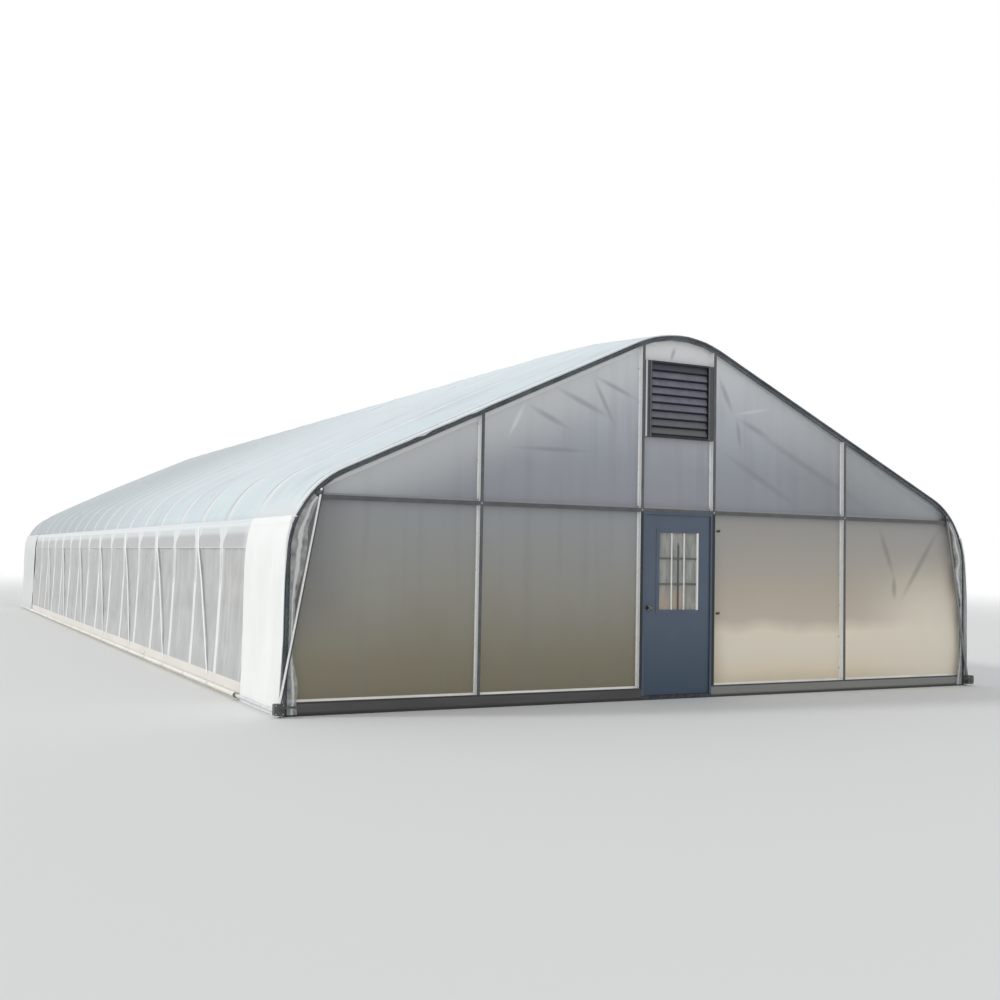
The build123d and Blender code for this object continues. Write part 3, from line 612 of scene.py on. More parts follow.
tube_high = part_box("roll_tubes")[1]
ROLL_R = 0.021
ROLL_AT = (tube_high[0] - ROLL_R, tube_high[2] - ROLL_R)
WRAP_R = ROLL_R + 0.0015
WRAP_TURN = radians(300)
SLIP = 1.05
slip_z = board_z + SLIP
slip_run = leg_top_run + spring_z - slip_z
slope_run = hypot(board_x - leg_x, SLIP)
board_run = slip_run + slope_run
hem_run = board_run + board_z - ROLL_AT[1]
wrap_run = WRAP_R * WRAP_TURN


def down_side(run, out):
    """The curtain's line: down the leg, slanting out over the board, down it, round the tube."""
    if run < slip_run:
        return over_bows(run, out)
    if run < board_run:
        share = (run - slip_run) / slope_run
        return leg_x + out + share * (board_x - leg_x), slip_z - share * SLIP
    if run < hem_run:
        return board_x + out, board_z - (run - board_run)
    turn = (run - hem_run) / WRAP_R
    around = WRAP_R + 0.0008 * turn
    return ROLL_AT[0] - around * cos(turn), ROLL_AT[1] - around * sin(turn)


def ridged(*place):
    """Noise with sharp ridges, as creased film has."""
    return 1 - 2.2 * abs(noise.noise(place))


def curtain_point(side, seed):
    def point(y, run):
        run = abs(run)
        top = ease((run - hip_run - RAIL_HALF) / 0.30)
        low = ease((board_run - run) / 0.35)
        loose = between_bows(y) ** 0.6 * top * low
        drift = 0.25 * noise.noise((y * 1.3, run * 0.9, seed + 2))
        folds = 0.5 + 0.5 * noise.noise(((y + drift) * 2.6, run * 0.5, seed))
        sharp = max(0.0, ridged((y + drift) * 6.0, run * 0.45, seed + 7))
        fine = max(0.0, ridged((y + 0.2 * run) * 13.0, run * 0.8, seed + 9))
        inward = 0.004 + 0.014 * folds + 0.012 * sharp + 0.004 * fine
        x, z = down_side(run, FILM_OUT - inward * loose)
        if board_run < run < hem_run:
            x += 0.0025 * noise.noise((y * 5.0, run * 20.0, seed))
        return side * x, y, z
    return point


CURTAIN_STEPS = 22
LEG_STEPS = 20
BOARD_STEPS = 5
RUN_STEPS = 30
WRAP_STEPS = 14
BOW_STRIP = 0.048
curtain_top = hip_run + RAIL_HALF
ys = {curtain_low[1], curtain_high[1]}
for y in bow_places:
    ys |= {y - BOW_STRIP, y + BOW_STRIP}
    ys |= {y + BOW_STRIP + (bay - 2 * BOW_STRIP) * i / CURTAIN_STEPS
           for i in range(1, CURTAIN_STEPS)}
curtain_ys = sorted(y for y in ys if curtain_low[1] <= y <= curtain_high[1])
curtain_runs = [curtain_top + (slip_run - curtain_top) * i / LEG_STEPS for i in range(LEG_STEPS)]
curtain_runs += [slip_run + slope_run * i / RUN_STEPS for i in range(RUN_STEPS)]
curtain_runs += [board_run + (hem_run - board_run) * i / BOARD_STEPS for i in range(BOARD_STEPS)]
curtain_runs += [hem_run + wrap_run * i / WRAP_STEPS for i in range(WRAP_STEPS + 1)]
for side, solid, seed in ((1, "right_curtain", 3.3), (-1, "left_curtain", 8.1)):
    runs = curtain_runs if side > 0 else [-run for run in reversed(curtain_runs)]
    curtain = film_mesh(f"{solid}_film", curtain_ys, runs, curtain_point(side, seed), free_film,
                        on_bow, on_board, on_tube)
    wide = len(runs) - 1
    for i, face in enumerate(curtain.data.polygons):
        row, column = divmod(i, wide)
        run = abs(runs[column] + runs[column + 1]) / 2
        y = (curtain_ys[row] + curtain_ys[row + 1]) / 2
        if run > hem_run:
            face.material_index = 3
        elif run > board_run:
            face.material_index = 2
        elif min(abs(y - bow) for bow in bow_places) < BOW_STRIP:
            face.material_index = 1
    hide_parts(solid)
    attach(curtain, "greenhouse")


# Roll tubes: galvanised tube along the foot of each side, with a plastic snap clamp over the
# wound film in every bay. The clamp nearest the door wall is a dark one.
def sleeve(radius, long, wall, sides):
    """A short tube along Z in edit mode, bored from end to end."""
    bpy.ops.object.select_all(action="DESELECT")
    bpy.ops.mesh.primitive_cylinder_add(vertices=sides, radius=radius, depth=long)
    bpy.ops.object.mode_set(mode="EDIT")
    choose(lambda centre, normal: abs(normal.z) > 0.9)
    bpy.ops.mesh.inset(thickness=wall)
    bpy.ops.mesh.bridge_edge_loops()
    return bpy.context.object


paint(galvanised, "roll_tubes")
CLIP_R = 0.0275
CLIP_LONG = 0.060
CLIP_OFF = 0.0035
CLIP_WALL = 0.0028
SNAPS = 16
snap_plastic = coat("snap_plastic", (0.88, 0.87, 0.83), (0.76, 0.75, 0.72), 0.02, (0.4, 0.6),
                    bump=0.0003)
lay_over(snap_plastic, (0.05, 0.05, 0.055),
         (where(snap_plastic)[1], curtain_low[1] + 0.7, curtain_low[1] + 0.5))
snap = sleeve(CLIP_R, CLIP_LONG, CLIP_WALL, 14)
bpy.ops.object.mode_set(mode="OBJECT")
lengthways = Matrix.Rotation(pi / 2, 4, "X")
snap_ys = [curtain_low[1] + 0.05 + i * bay for i in range(SNAPS)]
snap_spots = [Matrix.Translation((side * (ROLL_AT[0] + CLIP_OFF), y, ROLL_AT[1])) @ lengthways
              for y in snap_ys for side in (1, -1)]
copies("snap_clamps", snap, snap_spots, snap_plastic)

# End films: fixed strips of doubled white film at the four corners, locked over the hip rail,
# fixed to the end bow and hanging straight to the ground outside the board, in long soft folds.
white_film = coat("white_film", (0.97, 0.985, 0.97), (0.92, 0.935, 0.91), 0.30, (0.35, 0.55),
                  bump=0.004, fine=3, stretch=(1, 1, 0.3))
lay_over(white_film, (0.70, 0.715, 0.70), (where(white_film)[1], 0.0, 8.0, 0.0, 0.9))
STRIP_GAP = 0.012
STRIP_SLIP = 0.55
STRIP_OUT = 0.003
STRIP_LIP = (0.006, 0.014, 0.025)
END_ROWS = 70
END_COLUMNS = 64
end_top = hip_run - 0.052
strip_slip_run = leg_top_run + spring_z - board_z - STRIP_SLIP
strip_slope = hypot(board_x - leg_x, STRIP_SLIP)
ground_run = strip_slip_run + strip_slope + board_z
end_runs = sorted([end_top + (ground_run - end_top) * i / END_COLUMNS
                   for i in range(END_COLUMNS + 1)]
                  + [hip_run + past for past in (-0.040, -0.031, -0.020, 0.020, 0.031, 0.045)])


def end_point(side, seed, bulge):
    def point(y, run):
        run = abs(run)
        past = run - hip_run
        if abs(past) < 0.03:
            out = 0.0255
        elif past < 0.06:
            out = out_at_rail(past)
        else:
            out = 0.019 - 0.010 * ease((past - 0.06) / 0.3)
        out += STRIP_OUT
        if run < strip_slip_run:
            x, z = over_bows(run, out)
        elif run < strip_slip_run + strip_slope:
            share = (run - strip_slip_run) / strip_slope
            x = leg_x + out + share * (board_x + STRIP_OUT - leg_x - out)
            z = board_z + (1 - share) * STRIP_SLIP
        else:
            x, z = board_x + STRIP_OUT, board_z - (run - strip_slip_run - strip_slope)
        top = ease((past - 0.04) / 0.5)
        over = max(front - y, y - rear, 0.0)
        near_end = 0.0 if over else min(abs(y - front), abs(rear - y))
        beside = ease(near_end / 0.15)
        low = ease((ground_run - run) / 0.12)
        drift = 0.3 * noise.noise((y * 0.9, run * 0.8, seed + 3))
        folds = noise.noise(((y + drift) * 3.6, run * 0.45, seed))
        folds += 0.5 * ridged((y + drift) * 5.5, run * 0.35, seed + 5)
        stand = 0.020 * max(0.0, 0.35 + folds) * top * beside * (0.35 + 0.65 * low)
        hang = min(1.0, max(0.0, past / (ground_run - hip_run)))
        stand += bulge * ease(1 - near_end / 0.9) * sin(pi * hang) ** 1.2
        if over:
            turned = over * (0.25 + 0.75 * ease(1 - past / 0.7))
            y = front - 0.0040 if y < front else rear + 0.0040
            if run < leg_top_run:
                x, z = over_bows(run, out - turned)
            else:
                x -= turned
        return side * (x + stand), y, z
    return point


ends = ((front, curtain_low[1] - STRIP_GAP, 2.2), (curtain_high[1] + STRIP_GAP, rear, 6.4))
strips = [(side, *end) for side in (1, -1) for end in ends]
for number, (side, start, stop, seed) in enumerate(strips, 1):
    ys = [start + (stop - start) * i / END_ROWS for i in range(END_ROWS + 1)]
    if start == front:
        ys = [front - lip for lip in reversed(STRIP_LIP)] + ys
    else:
        ys += [rear + lip for lip in STRIP_LIP]
    runs = end_runs if side > 0 else [-run for run in reversed(end_runs)]
    bulge = 0.045 if side > 0 and start == front else 0.010
    strip = film_mesh(f"end_film_{number}", ys, runs, end_point(side, seed + side, bulge),
                      white_film)
    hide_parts("side_end_films")
    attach(strip, "greenhouse")

# Straps: flat woven polyester bands that hold the curtain in against wind, from the hip rail at
# every second bow down and forward over the curtain, stapled to the board.
webbing = coat("woven_strap", (1.0, 1.0, 0.99), (0.95, 0.96, 0.96), 0.01, (0.6, 0.8), bump=0.0004)
lay_over(webbing, (0.86, 0.87, 0.87), (repeat(where(webbing)[1], 0.003), 0.30, 0.0, 0.0, 0.5))
STRAP_WIDE = 0.060
STRAP_THICK = 0.003
STRAP_LEAN = 0.74 * bay
STRAP_STEPS = 40
strap_top, strap_foot = hip_run + 0.020, board_run + 0.035
corners, faces = [], []
for side in (1, -1):
    for i in range(STRAP_STEPS + 1):
        share = i / STRAP_STEPS
        run = strap_top + share * (strap_foot - strap_top)
        for edge, out in ((-0.5, 0.0), (0.5, 0.0), (0.5, STRAP_THICK), (-0.5, STRAP_THICK)):
            x, z = down_side(run, out_at_rail(run - hip_run) + 0.001 + out)
            corners.append((side * x, edge * STRAP_WIDE - share * STRAP_LEAN, z))
    first = len(corners) - 4 * (STRAP_STEPS + 1)
    last = first + 4 * STRAP_STEPS
    faces += [(first, first + 1, first + 2, first + 3), (last + 3, last + 2, last + 1, last)]
    for ring in range(first, last, 4):
        for j, k in ((0, 1), (1, 2), (2, 3), (3, 0)):
            faces.append((ring + j, ring + 4 + j, ring + 4 + k, ring + k))
mesh = bpy.data.meshes.new("strap_pair")
mesh.from_pydata(corners, [], faces)
tidy = bmesh.new()
tidy.from_mesh(mesh)
bmesh.ops.recalc_face_normals(tidy, faces=tidy.faces)
tidy.to_mesh(mesh)
tidy.free()
straps = copies("strap_bands", bpy.data.objects.new("strap_pair", mesh),
                [Matrix.Translation((0, y, 0)) for y in bow_places[3:16:2]], webbing)
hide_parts("curtain_straps")

# Cranks: a cast worm gear on the end of each roll tube, painted dark, with a crank handle. It
# slides up its guide pole as the curtain is rolled, and four screws hold its cover.
cast_iron = coat("gear_casting", (0.13, 0.14, 0.135), (0.06, 0.065, 0.065), 0.03, (0.45, 0.7),
                 bump=0.0006)
paint(cast_iron, "crank_gearboxes")
GEAR_FACE = front - 0.070
GEAR_AT = (ROLL_AT[0] - 0.010, 0.075)
COVER_X, COVER_Z = 0.036, 0.041
gear_spots = [facing((0, -1, 0), (side * (GEAR_AT[0] + x), GEAR_FACE, GEAR_AT[1] + z))
              for side in (1, -1) for x in (-COVER_X, COVER_X) for z in (-COVER_Z, COVER_Z)]
copies("gear_screws", screw_head("gear_screw", 0.007, 0.005, 0.0015, 0.004), gear_spots, screw_zinc)

# Guide poles: a bright galvanised tube leaning from each gear up to the arch, where a bent clip
# round the pole is screwed to the end bow.
pole_tube = coat("pole_tube", (0.93, 0.93, 0.92), (0.78, 0.79, 0.79), 0.03, (0.25, 0.4),
                 metallic=0.35)
# Painted shade: the right-hand pole is drawn darker, and the right-facing half of each pole nearly
# black.
lay_over(pole_tube, (0.22, 0.215, 0.21), (where(pole_tube)[0], 0.0, 1.0, 0.0, 0.9))
lay_over(pole_tube, (0.06, 0.06, 0.065), (where(pole_tube, "Normal")[0], -0.12, 0.12))
paint(pole_tube, "guide_poles")
POLE_R = 0.017
POLE_TOP = (4.240, 2.190)
POLE_CLIP_DOWN = 0.045
POLE_CLIP_LONG = 0.040
POLE_CLIP_EAR = 0.030
pole_low, pole_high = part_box("guide_poles")
lean = Vector((POLE_TOP[0] - pole_high[0] + POLE_R, 0, POLE_TOP[1] - pole_low[2])).normalized()
clip = sleeve(POLE_R + 0.0035, POLE_CLIP_LONG, 0.003, 20)
choose(lambda centre, normal: normal.x > 0.98 and centre.x > POLE_R)
draw_out(POLE_CLIP_EAR, POLE_R - 0.004, 0)
bpy.ops.object.mode_set(mode="OBJECT")
clip_spots = []
for side in (1, -1):
    spot = Vector((side * POLE_TOP[0], front - POLE_R, POLE_TOP[1]))
    spot -= POLE_CLIP_DOWN * Vector((side * lean.x, 0, lean.z))
    leaning = Matrix.Rotation(side * asin(lean.x), 4, "Y")
    clip_spots.append(Matrix.Translation(spot) @ leaning @ Matrix.Scale(side, 4, (1, 0, 0)))
copies("pole_clips", clip, clip_spots, cast_iron)

# Arch trim: the dark lock channel screwed round the face of each end bow, its film edge held by
# the same zigzag wire in the groove.
dark_trim = coat("dark_channel", (0.13, 0.15, 0.165), (0.055, 0.065, 0.075), 0.20, (0.3, 0.5),
                 metallic=0.35, bump=0.0005)
paint(dark_trim, "front_arch_trim", "rear_arch_trim")
TRIM_MID = 0.030
arch_run = leg_top_run + spring_z - 0.03
for name, y in (("front_lock_wire", front + 0.002), ("rear_lock_wire", rear - 0.002)):
    points = []
    for i in range(int(2 * arch_run / WIRE_WAVE)):
        x, z = over_bows(-arch_run + i * WIRE_WAVE, -TRIM_MID - 0.002 + (-1) ** i * WIRE_SWING)
        points.append((x, y, z))
    lock_wire(name, points)

# Corner films: loose ends of the cover, gathered by the trim at the two front corners and left
# to hang, clear, grey and crumpled, between the arch and the guide pole.
loose_film = film("loose_film", (0.56, 0.57, 0.55), (0.26, 0.27, 0.265), 0.75, 0.012, 0.06,
                  patch=0.10, rough=(0.10, 0.28))
CORNER_WIDE = 0.105
CORNER_ROWS, CORNER_COLUMNS = 110, 14
CORNER_WIDTHS = ((0.0, 0.110), (0.25, 0.100), (0.50, 0.055), (1.10, 0.050), (1.40, 0.140),
                 (1.75, 0.145), (2.10, 0.085), (2.60, 0.020))
corner_start = rafter_end + 0.41
corner_end = leg_top_run + spring_z - 0.015
# Painted highlight: a bright streak down each crumpled film.
wide_at = where(loose_film, "UV")[1]
highlight_at = work("ADD", 0.030, work("MULTIPLY", clouds(loose_film, 5, 2), 0.055))
lay_over(loose_film, (0.93, 0.94, 0.92), (apart(wide_at, highlight_at), 0.020, 0.007, 0.0, 0.9))


def corner_point(side, seed):
    def point(run, across):
        wide = CORNER_WIDTHS[-1][1]
        height = over_bows(run)[1]
        for (low, a), (high, b) in zip(CORNER_WIDTHS, CORNER_WIDTHS[1:]):
            if low <= height < high:
                wide = a + (b - a) * (height - low) / (high - low)
        wide *= 1 + 0.25 * noise.noise((run * 4.0, 1.0, seed))
        fall = across / CORNER_WIDE
        x, z = over_bows(run, -TRIM_MID - 0.008 - fall * wide)
        crumple = 0.016 * fall * abs(noise.noise((run * 5.0, across * 22.0, seed)))
        crumple += 0.012 * fall * max(0.0, ridged(run * 2.5, across * 14.0, seed + 4))
        return side * x, front - 0.003 - crumple, z
    return point


for side, name, seed in ((1, "right_corner_film", 1.4), (-1, "left_corner_film", 5.2)):
    rows = [corner_start + (corner_end - corner_start) * i / CORNER_ROWS
            for i in range(CORNER_ROWS + 1)]
    columns = [CORNER_WIDE * i / CORNER_COLUMNS for i in range(CORNER_COLUMNS + 1)]
    loose = film_mesh(name, rows if side > 0 else rows[::-1], columns, corner_point(side, seed),
                      loose_film)
    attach(loose, "greenhouse")

# Sills: treated softwood boards on edge under each end wall, weathered dark. They rest on the
# ground and are screwed to the feet of the posts.
sill_stain_and_shade = coat("dark_sill", (0.125, 0.118, 0.115), (0.075, 0.070, 0.070), 0.5, (0.6, 0.85),
                  bump=0.001, fine=20, stretch=(0.4, 6, 6))
sill_x, _, sill_z = where(sill_stain_and_shade)
# Lighter right of the door and darker at the foot, with a painted shadow line along the top under
# the channel.
lay_over(sill_stain_and_shade, (0.31, 0.31, 0.285), (sill_x, 0.0, 0.6, 0.0, 0.85))
lay_over(sill_stain_and_shade, (0.035, 0.035, 0.035), (sill_z, 0.045, 0.015, 0.0, 0.9))
lay_over(sill_stain_and_shade, (0.035, 0.035, 0.038), (sill_z, 0.112, 0.122, 0.0, 0.9))
paint(sill_stain_and_shade, "front_sills", "rear_sill")

# End frames: posts and girts of square tube, their faces dark with painted shade and their sides
# near white with painted light. A bolt joins each girt to its posts.
end_tube = coat("end_tube", (0.125, 0.13, 0.135), (0.085, 0.09, 0.095), 0.15, (0.40, 0.60),
                bump=0.0003)
tube_x, _, tube_z = where(end_tube)
# The door posts are drawn near black below the girt.
lay_over(end_tube, (0.018, 0.019, 0.022), (work("ABSOLUTE", tube_x), 0.56, 0.54),
         (tube_z, 2.10, 2.08))
# Painted light: the sides of the tubes are near white.
lay_over(end_tube, (1.0, 1.0, 0.98), (work("ABSOLUTE", where(end_tube, "Normal")[0]), 0.6, 0.8))
paint(end_tube, "front_posts", "front_girts", "rear_posts", "rear_girts")
STUD_X = 2.500
DOOR_POST = 0.497
POSTS = (-STUD_X, -DOOR_POST, DOOR_POST, STUD_X)
POST_HALF = 0.019
girt_low, girt_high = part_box("front_girts")
girt_z, girt_top = (girt_low[2] + girt_high[2]) / 2, girt_high[2]
girt_bolts = [facing((0, out, 0), (x, wall, girt_z)) for wall, out in ((front, -1), (rear, 1))
              for x in POSTS]
copies("girt_bolts", screw_head("girt_bolt", 0.010, 0.007, 0.002, 0.005), girt_bolts, screw_zinc)

# Sheet channels: aluminium angles on the sills and girts that the sheets stand in, bright on the
# sills and drawn grey on the girts, each a thin foot with an upright lip against the sheet.
FOOT = 0.024
LIP_TALL = 0.020
ANGLE = 0.002
SHEET_FACE = 0.054
SIDE_IN = leg_x - 0.062
GIRT_IN = 4.265
bright_angle = coat("bright_angle", (0.97, 0.95, 0.91), (0.86, 0.84, 0.80), 0.06, (0.3, 0.45),
                    metallic=0.2, stretch=(0.3, 1, 1))
lay_over(bright_angle, (0.36, 0.37, 0.38), (where(bright_angle)[2], 1.0, 1.2))
sill_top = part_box("front_sills")[1][2]
angle_back = front + SHEET_FACE
turned_round = Matrix.Rotation(pi, 4, "Z")
angle = block((0, angle_back - FOOT / 2, ANGLE / 2), (1, FOOT, ANGLE))
split((0, angle_back - ANGLE, 0), (0, 1, 0))
choose(lambda centre, normal: normal.z > 0.9 and centre.y > angle_back - ANGLE)
draw_out(0, 0, LIP_TALL)
bpy.ops.object.mode_set(mode="OBJECT")
channel_spots = []
for z, end in ((sill_top, SIDE_IN), (girt_top, GIRT_IN)):
    starts = [-end] + [x + POST_HALF for x in POSTS]
    stops = [x - POST_HALF for x in POSTS] + [end]
    for low, high in zip(starts, stops):
        spot = Matrix.Translation(((low + high) / 2, 0, z)) @ Matrix.Diagonal((high - low, 1, 1, 1))
        channel_spots.append(turned_round @ spot)
        if z == girt_top or not low < 0 < high:
            channel_spots.append(spot)
copies("sheet_channels", angle, channel_spots, bright_angle)

# Edge strips: the same angle, standing up the left side of each post, where one sheet's edge is
# closed, and drawn near white as painted light on that sunlit side. Each is slid down from the arch
# and held by the post's screws.
STRIP_DEEP = 0.050
STRIP_FLANGE = 0.012
strip_white = coat("edge_strip", (1.0, 1.0, 0.98), (0.93, 0.94, 0.93), 0.05, (0.3, 0.45),
                   stretch=(1, 1, 0.3))
vent_gap = (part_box("vent_frame")[0][2] - 0.003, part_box("vent_frame")[1][2] + 0.003)
above_sill, above_girt = sill_top + LIP_TALL + 0.004, girt_top + LIP_TALL + 0.004
edge_strip = block((-POST_HALF - ANGLE / 2, angle_back - STRIP_DEEP / 2, 0.5),
                   (ANGLE, STRIP_DEEP, 1))
split((0, angle_back - ANGLE, 0), (0, 1, 0))
choose(lambda centre, normal: normal.x < -0.9 and centre.y > angle_back - ANGLE)
draw_out(-STRIP_FLANGE, 0, 0)
bpy.ops.object.mode_set(mode="OBJECT")


def upright(x, low, high):
    """Where the strip goes to stand beside a post from one height to another."""
    return Matrix.Translation((x, 0, low)) @ Matrix.Diagonal((1, 1, high - low, 1))


strip_spots = []
for x in POSTS:
    top = over_bows(run_at(abs(x) + 0.035), -TUBE)[1] - 0.004
    lengths = [upright(x, above_sill, girt_low[2] - 0.002), upright(x, above_girt, top)]
    strip_spots += [turned_round @ spot for spot in lengths]
    if x == DOOR_POST:
        lengths = [upright(x, above_girt, vent_gap[0]), upright(x, vent_gap[1], top)]
    strip_spots += lengths
copies("edge_strips", edge_strip, strip_spots, strip_white)


# End walls: twin-wall polycarbonate sheets with upright flutes, set against the back of the
# posts and screwed along their edges. Their tones are painted light and shade: brownish low on
# the left, pale and warm low on the right where light glows through, and grey above.
def by_height(made, stops, wander):
    """Tones that change with height by stops of (height, colour), over a wandering line."""
    (bottom, first), *middle, (top, last) = stops
    cloudy = work("SUBTRACT", clouds(made, 2.2, 3, stretch=(1, 1, 0.5)), 0.5)
    height = work("ADD", where(made)[2], work("MULTIPLY", cloudy, wander))
    share = work("DIVIDE", work("SUBTRACT", height, bottom), top - bottom)
    tones = node(made.node_tree, "ValToRGB", {"Fac": share})
    low, high = tones.color_ramp.elements
    low.color, high.color = (*first, 1), (*last, 1)
    for at, colour in middle:
        tones.color_ramp.elements.new((at - bottom) / (top - bottom)).color = (*colour, 1)
    return tones.outputs["Color"]


def twin_wall(name, stops):
    """Fluted sheet whose tone changes with height."""
    made = coat(name, stops[0][1], stops[0][1], 0.5, (0.25, 0.45), alpha=0.84)
    tree = made.node_tree
    base = tree.nodes["Principled BSDF"].inputs["Base Color"]
    tree.nodes.remove(base.links[0].from_node)
    tree.links.new(by_height(made, stops, 0.35), base)
    lay_over(made, (0.24, 0.24, 0.25),
             (clouds(made, 1.0, 5, stretch=(9, 1, 0.5)), 0.45, 0.85, 0.0, 0.25))
    flute = apart(repeat(where(made)[0], 0.010), 0.5)
    lay_over(made, (0.38, 0.38, 0.39), (flute, 0.34, 0.5, 0.0, 0.20))
    stand_out(made, flute, 0.0004)
    return made


def soft_lines(made, colour, share, *lines):
    """Lays soft lines over the front sheets, each from x and z to x and z with a half width."""
    for x, z, to_x, to_z, half_wide in lines:
        run, lift = to_x - x, to_z - z
        along_it = node(made.node_tree, "Mapping", {
            "Vector": node(made.node_tree, "TexCoord").outputs["Object"],
            "Location": ((x + to_x) / 2, front, (z + to_z) / 2),
            "Rotation": (0, -asin(lift / hypot(run, lift)) * copysign(1, run), 0),
            "Scale": (hypot(run, lift) * 0.60, 2.0, half_wide * 1.7)})
        along_it.vector_type = "TEXTURE"
        lay_over(made, colour, (length(along_it.outputs["Vector"]), 1.0, 0.15, 0.0, share))


lower_sheet = twin_wall("lower_sheet", (
    (0.10, (0.270, 0.235, 0.150)), (0.45, (0.285, 0.250, 0.165)), (1.25, (0.365, 0.350, 0.305)),
    (2.10, (0.380, 0.400, 0.415))))
sheet_x, _, sheet_z = where(lower_sheet)
# Painted light: a pale warm glow low on the right, where light comes through the sheet.
glow = by_height(lower_sheet, (
    (0.13, (0.88, 0.75, 0.56)), (0.2975, (1.0, 0.86, 0.67)), (0.5043, (1.0, 0.91, 0.75)),
    (0.7210, (1.0, 0.90, 0.73)), (0.8786, (0.70, 0.60, 0.49)), (1.1938, (0.60, 0.53, 0.43)),
    (1.6075, (0.50, 0.46, 0.41)), (2.10, (0.42, 0.405, 0.39))), 0.18)
lay_over(lower_sheet, glow, (sheet_x, 0.2, 0.8))
lay_over(lower_sheet, (1.0, 0.91, 0.76), (sheet_x, 2.6, 4.0, 0.0, 0.85), (sheet_z, 1.75, 0.8))
# Painted shadow low on the far left.
lay_over(lower_sheet, (0.20, 0.20, 0.20), (sheet_x, -3.7, -4.3, 0.0, 0.5), (sheet_z, 0.5, 1.2))
lower_sheet.node_tree.nodes["Principled BSDF"].inputs["Alpha"].default_value = 0.92
upper_sheet = twin_wall("upper_sheet", (
    (2.15, (0.385, 0.400, 0.440)), (2.60, (0.420, 0.440, 0.485)), (3.10, (0.560, 0.585, 0.635)),
    (3.60, (0.660, 0.690, 0.750)), (4.05, (0.850, 0.900, 0.940))))
upper_x, _, upper_z = where(upper_sheet)
from_middle = work("ABSOLUTE", upper_x)
ARCH_TOP = 4.239
arch_z = work("SUBTRACT", ARCH_TOP, work("MULTIPLY", from_middle, sin(PITCH) / cos(PITCH)))
below_arch = work("SUBTRACT", arch_z, upper_z)
# Painted light: paler under the arch near the crown, with a painted highlight line just under the
# arch; also lighter low on the left and darker high on the right.
for colour, *shares in (
        ((0.62, 0.65, 0.69), (upper_x, -2.3, -3.6, 0.0, 0.15), (upper_z, 2.2, 2.8)),
        ((0.27, 0.28, 0.29), (upper_x, 1.2, 2.7, 0.0, 0.45), (upper_z, 3.4, 3.1)),
        ((0.86, 0.87, 0.84), (below_arch, 0.85, 0.10, 0.0, 0.55), (upper_x, 1.5, 0.3, 0.4, 1.0)),
        ((1.0, 1.0, 0.97), (below_arch, 0.100, 0.080, 0.0, 0.8), (upper_x, 0.6, 0.2, 0.3, 1.0)),
        ((1.0, 1.0, 0.98), (from_middle, 0.50, 0.47), (upper_z, 3.75, 3.85, 0.0, 0.8))):
    lay_over(upper_sheet, colour, *shares)
# Painted shadows of the trusses and bows behind the upper sheets.
soft_lines(upper_sheet, (0.30, 0.31, 0.34), 0.50,
           (-1.60, 3.40, -0.90, 3.12, 0.030), (-1.13, 3.55, -0.84, 3.03, 0.024),
           (-1.10, 3.56, -0.55, 3.35, 0.024), (-1.93, 3.18, -1.42, 2.96, 0.030),
           (-2.14, 2.72, -1.12, 2.73, 0.022), (-0.03, 4.00, -0.10, 3.82, 0.022),
           (0.60, 3.68, 0.80, 3.29, 0.030), (0.88, 3.23, 1.38, 3.02, 0.030),
           (0.86, 3.24, 0.92, 2.86, 0.024), (1.08, 3.12, 3.06, 2.18, 0.040),
           (0.63, 2.84, 1.92, 2.16, 0.035))
# Painted highlights: two light streaks on the upper sheets.
soft_lines(upper_sheet, (0.88, 0.90, 0.90), 0.8, (-1.97, 3.22, -2.17, 2.83, 0.022))
soft_lines(upper_sheet, (0.88, 0.90, 0.88), 0.5, (0.79, 3.27, 1.40, 3.39, 0.018))
# Painted shadows of a bow leg and the wind brace behind the lower sheet.
soft_lines(lower_sheet, (0.24, 0.23, 0.21), 0.5, (3.12, 2.03, 3.38, 1.40, 0.035),
           (3.38, 1.42, 3.39, 1.10, 0.035), (4.20, 2.06, 3.50, 1.10, 0.035))
paint(lower_sheet, "front_lower_panels", "rear_lower_panels")
paint(upper_sheet, "front_upper_panels", "rear_upper_panels")
SCREW_STEP = 0.38
VENT_FOOT = 2.90
sheet_spots = []
for wall, out in ((front + SHEET_FACE, -1), (rear - SHEET_FACE, 1)):
    for x in POSTS:
        top_z = over_bows(run_at(abs(x) + 0.04))[1] - 0.12
        for side in (1, -1):
            beside = x + side * (POST_HALF + 0.018)
            z = sill_top + 0.15
            while z < top_z:
                in_doorway = out < 0 and abs(beside) < DOOR_POST and (z < girt_top or z > VENT_FOOT)
                if abs(z - girt_z) > 0.05 and not in_doorway:
                    sheet_spots.append(facing((0, out, 0), (beside, wall, z)))
                z += SCREW_STEP
copies("sheet_screws", screw_head("sheet_screw", 0.0095, 0.005, 0.002, 0.004), sheet_spots,
       screw_zinc)

# Gable vent: a louvred shutter of folded sheet steel, painted grey, its frame riveted into the
# opening between the door posts, with a bright band drawn down its left side.
vent_low, vent_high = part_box("vent_frame")
vent_rim = coat("vent_rim", (0.150, 0.155, 0.160), (0.105, 0.11, 0.115), 0.10, (0.4, 0.6))
rim_x = where(vent_rim)[0]
from_middle = work("ABSOLUTE", rim_x)
for colour, share in (((0.010, 0.011, 0.015), (from_middle, 0.3995, 0.3965)),
                      ((0.075, 0.08, 0.085), (from_middle, 0.416, 0.419)),
                      ((0.70, 0.72, 0.74), (rim_x, -0.446, -0.450)),
                      ((0.03, 0.03, 0.035), (from_middle, 0.468, 0.471))):
    lay_over(vent_rim, colour, share)
paint(vent_rim, "vent_frame")
VENT_RIM = 0.022
VENT_LIP = 0.012
BLADES = 9
blade_pitch = (vent_high[2] - vent_low[2] - 2 * VENT_RIM) / BLADES
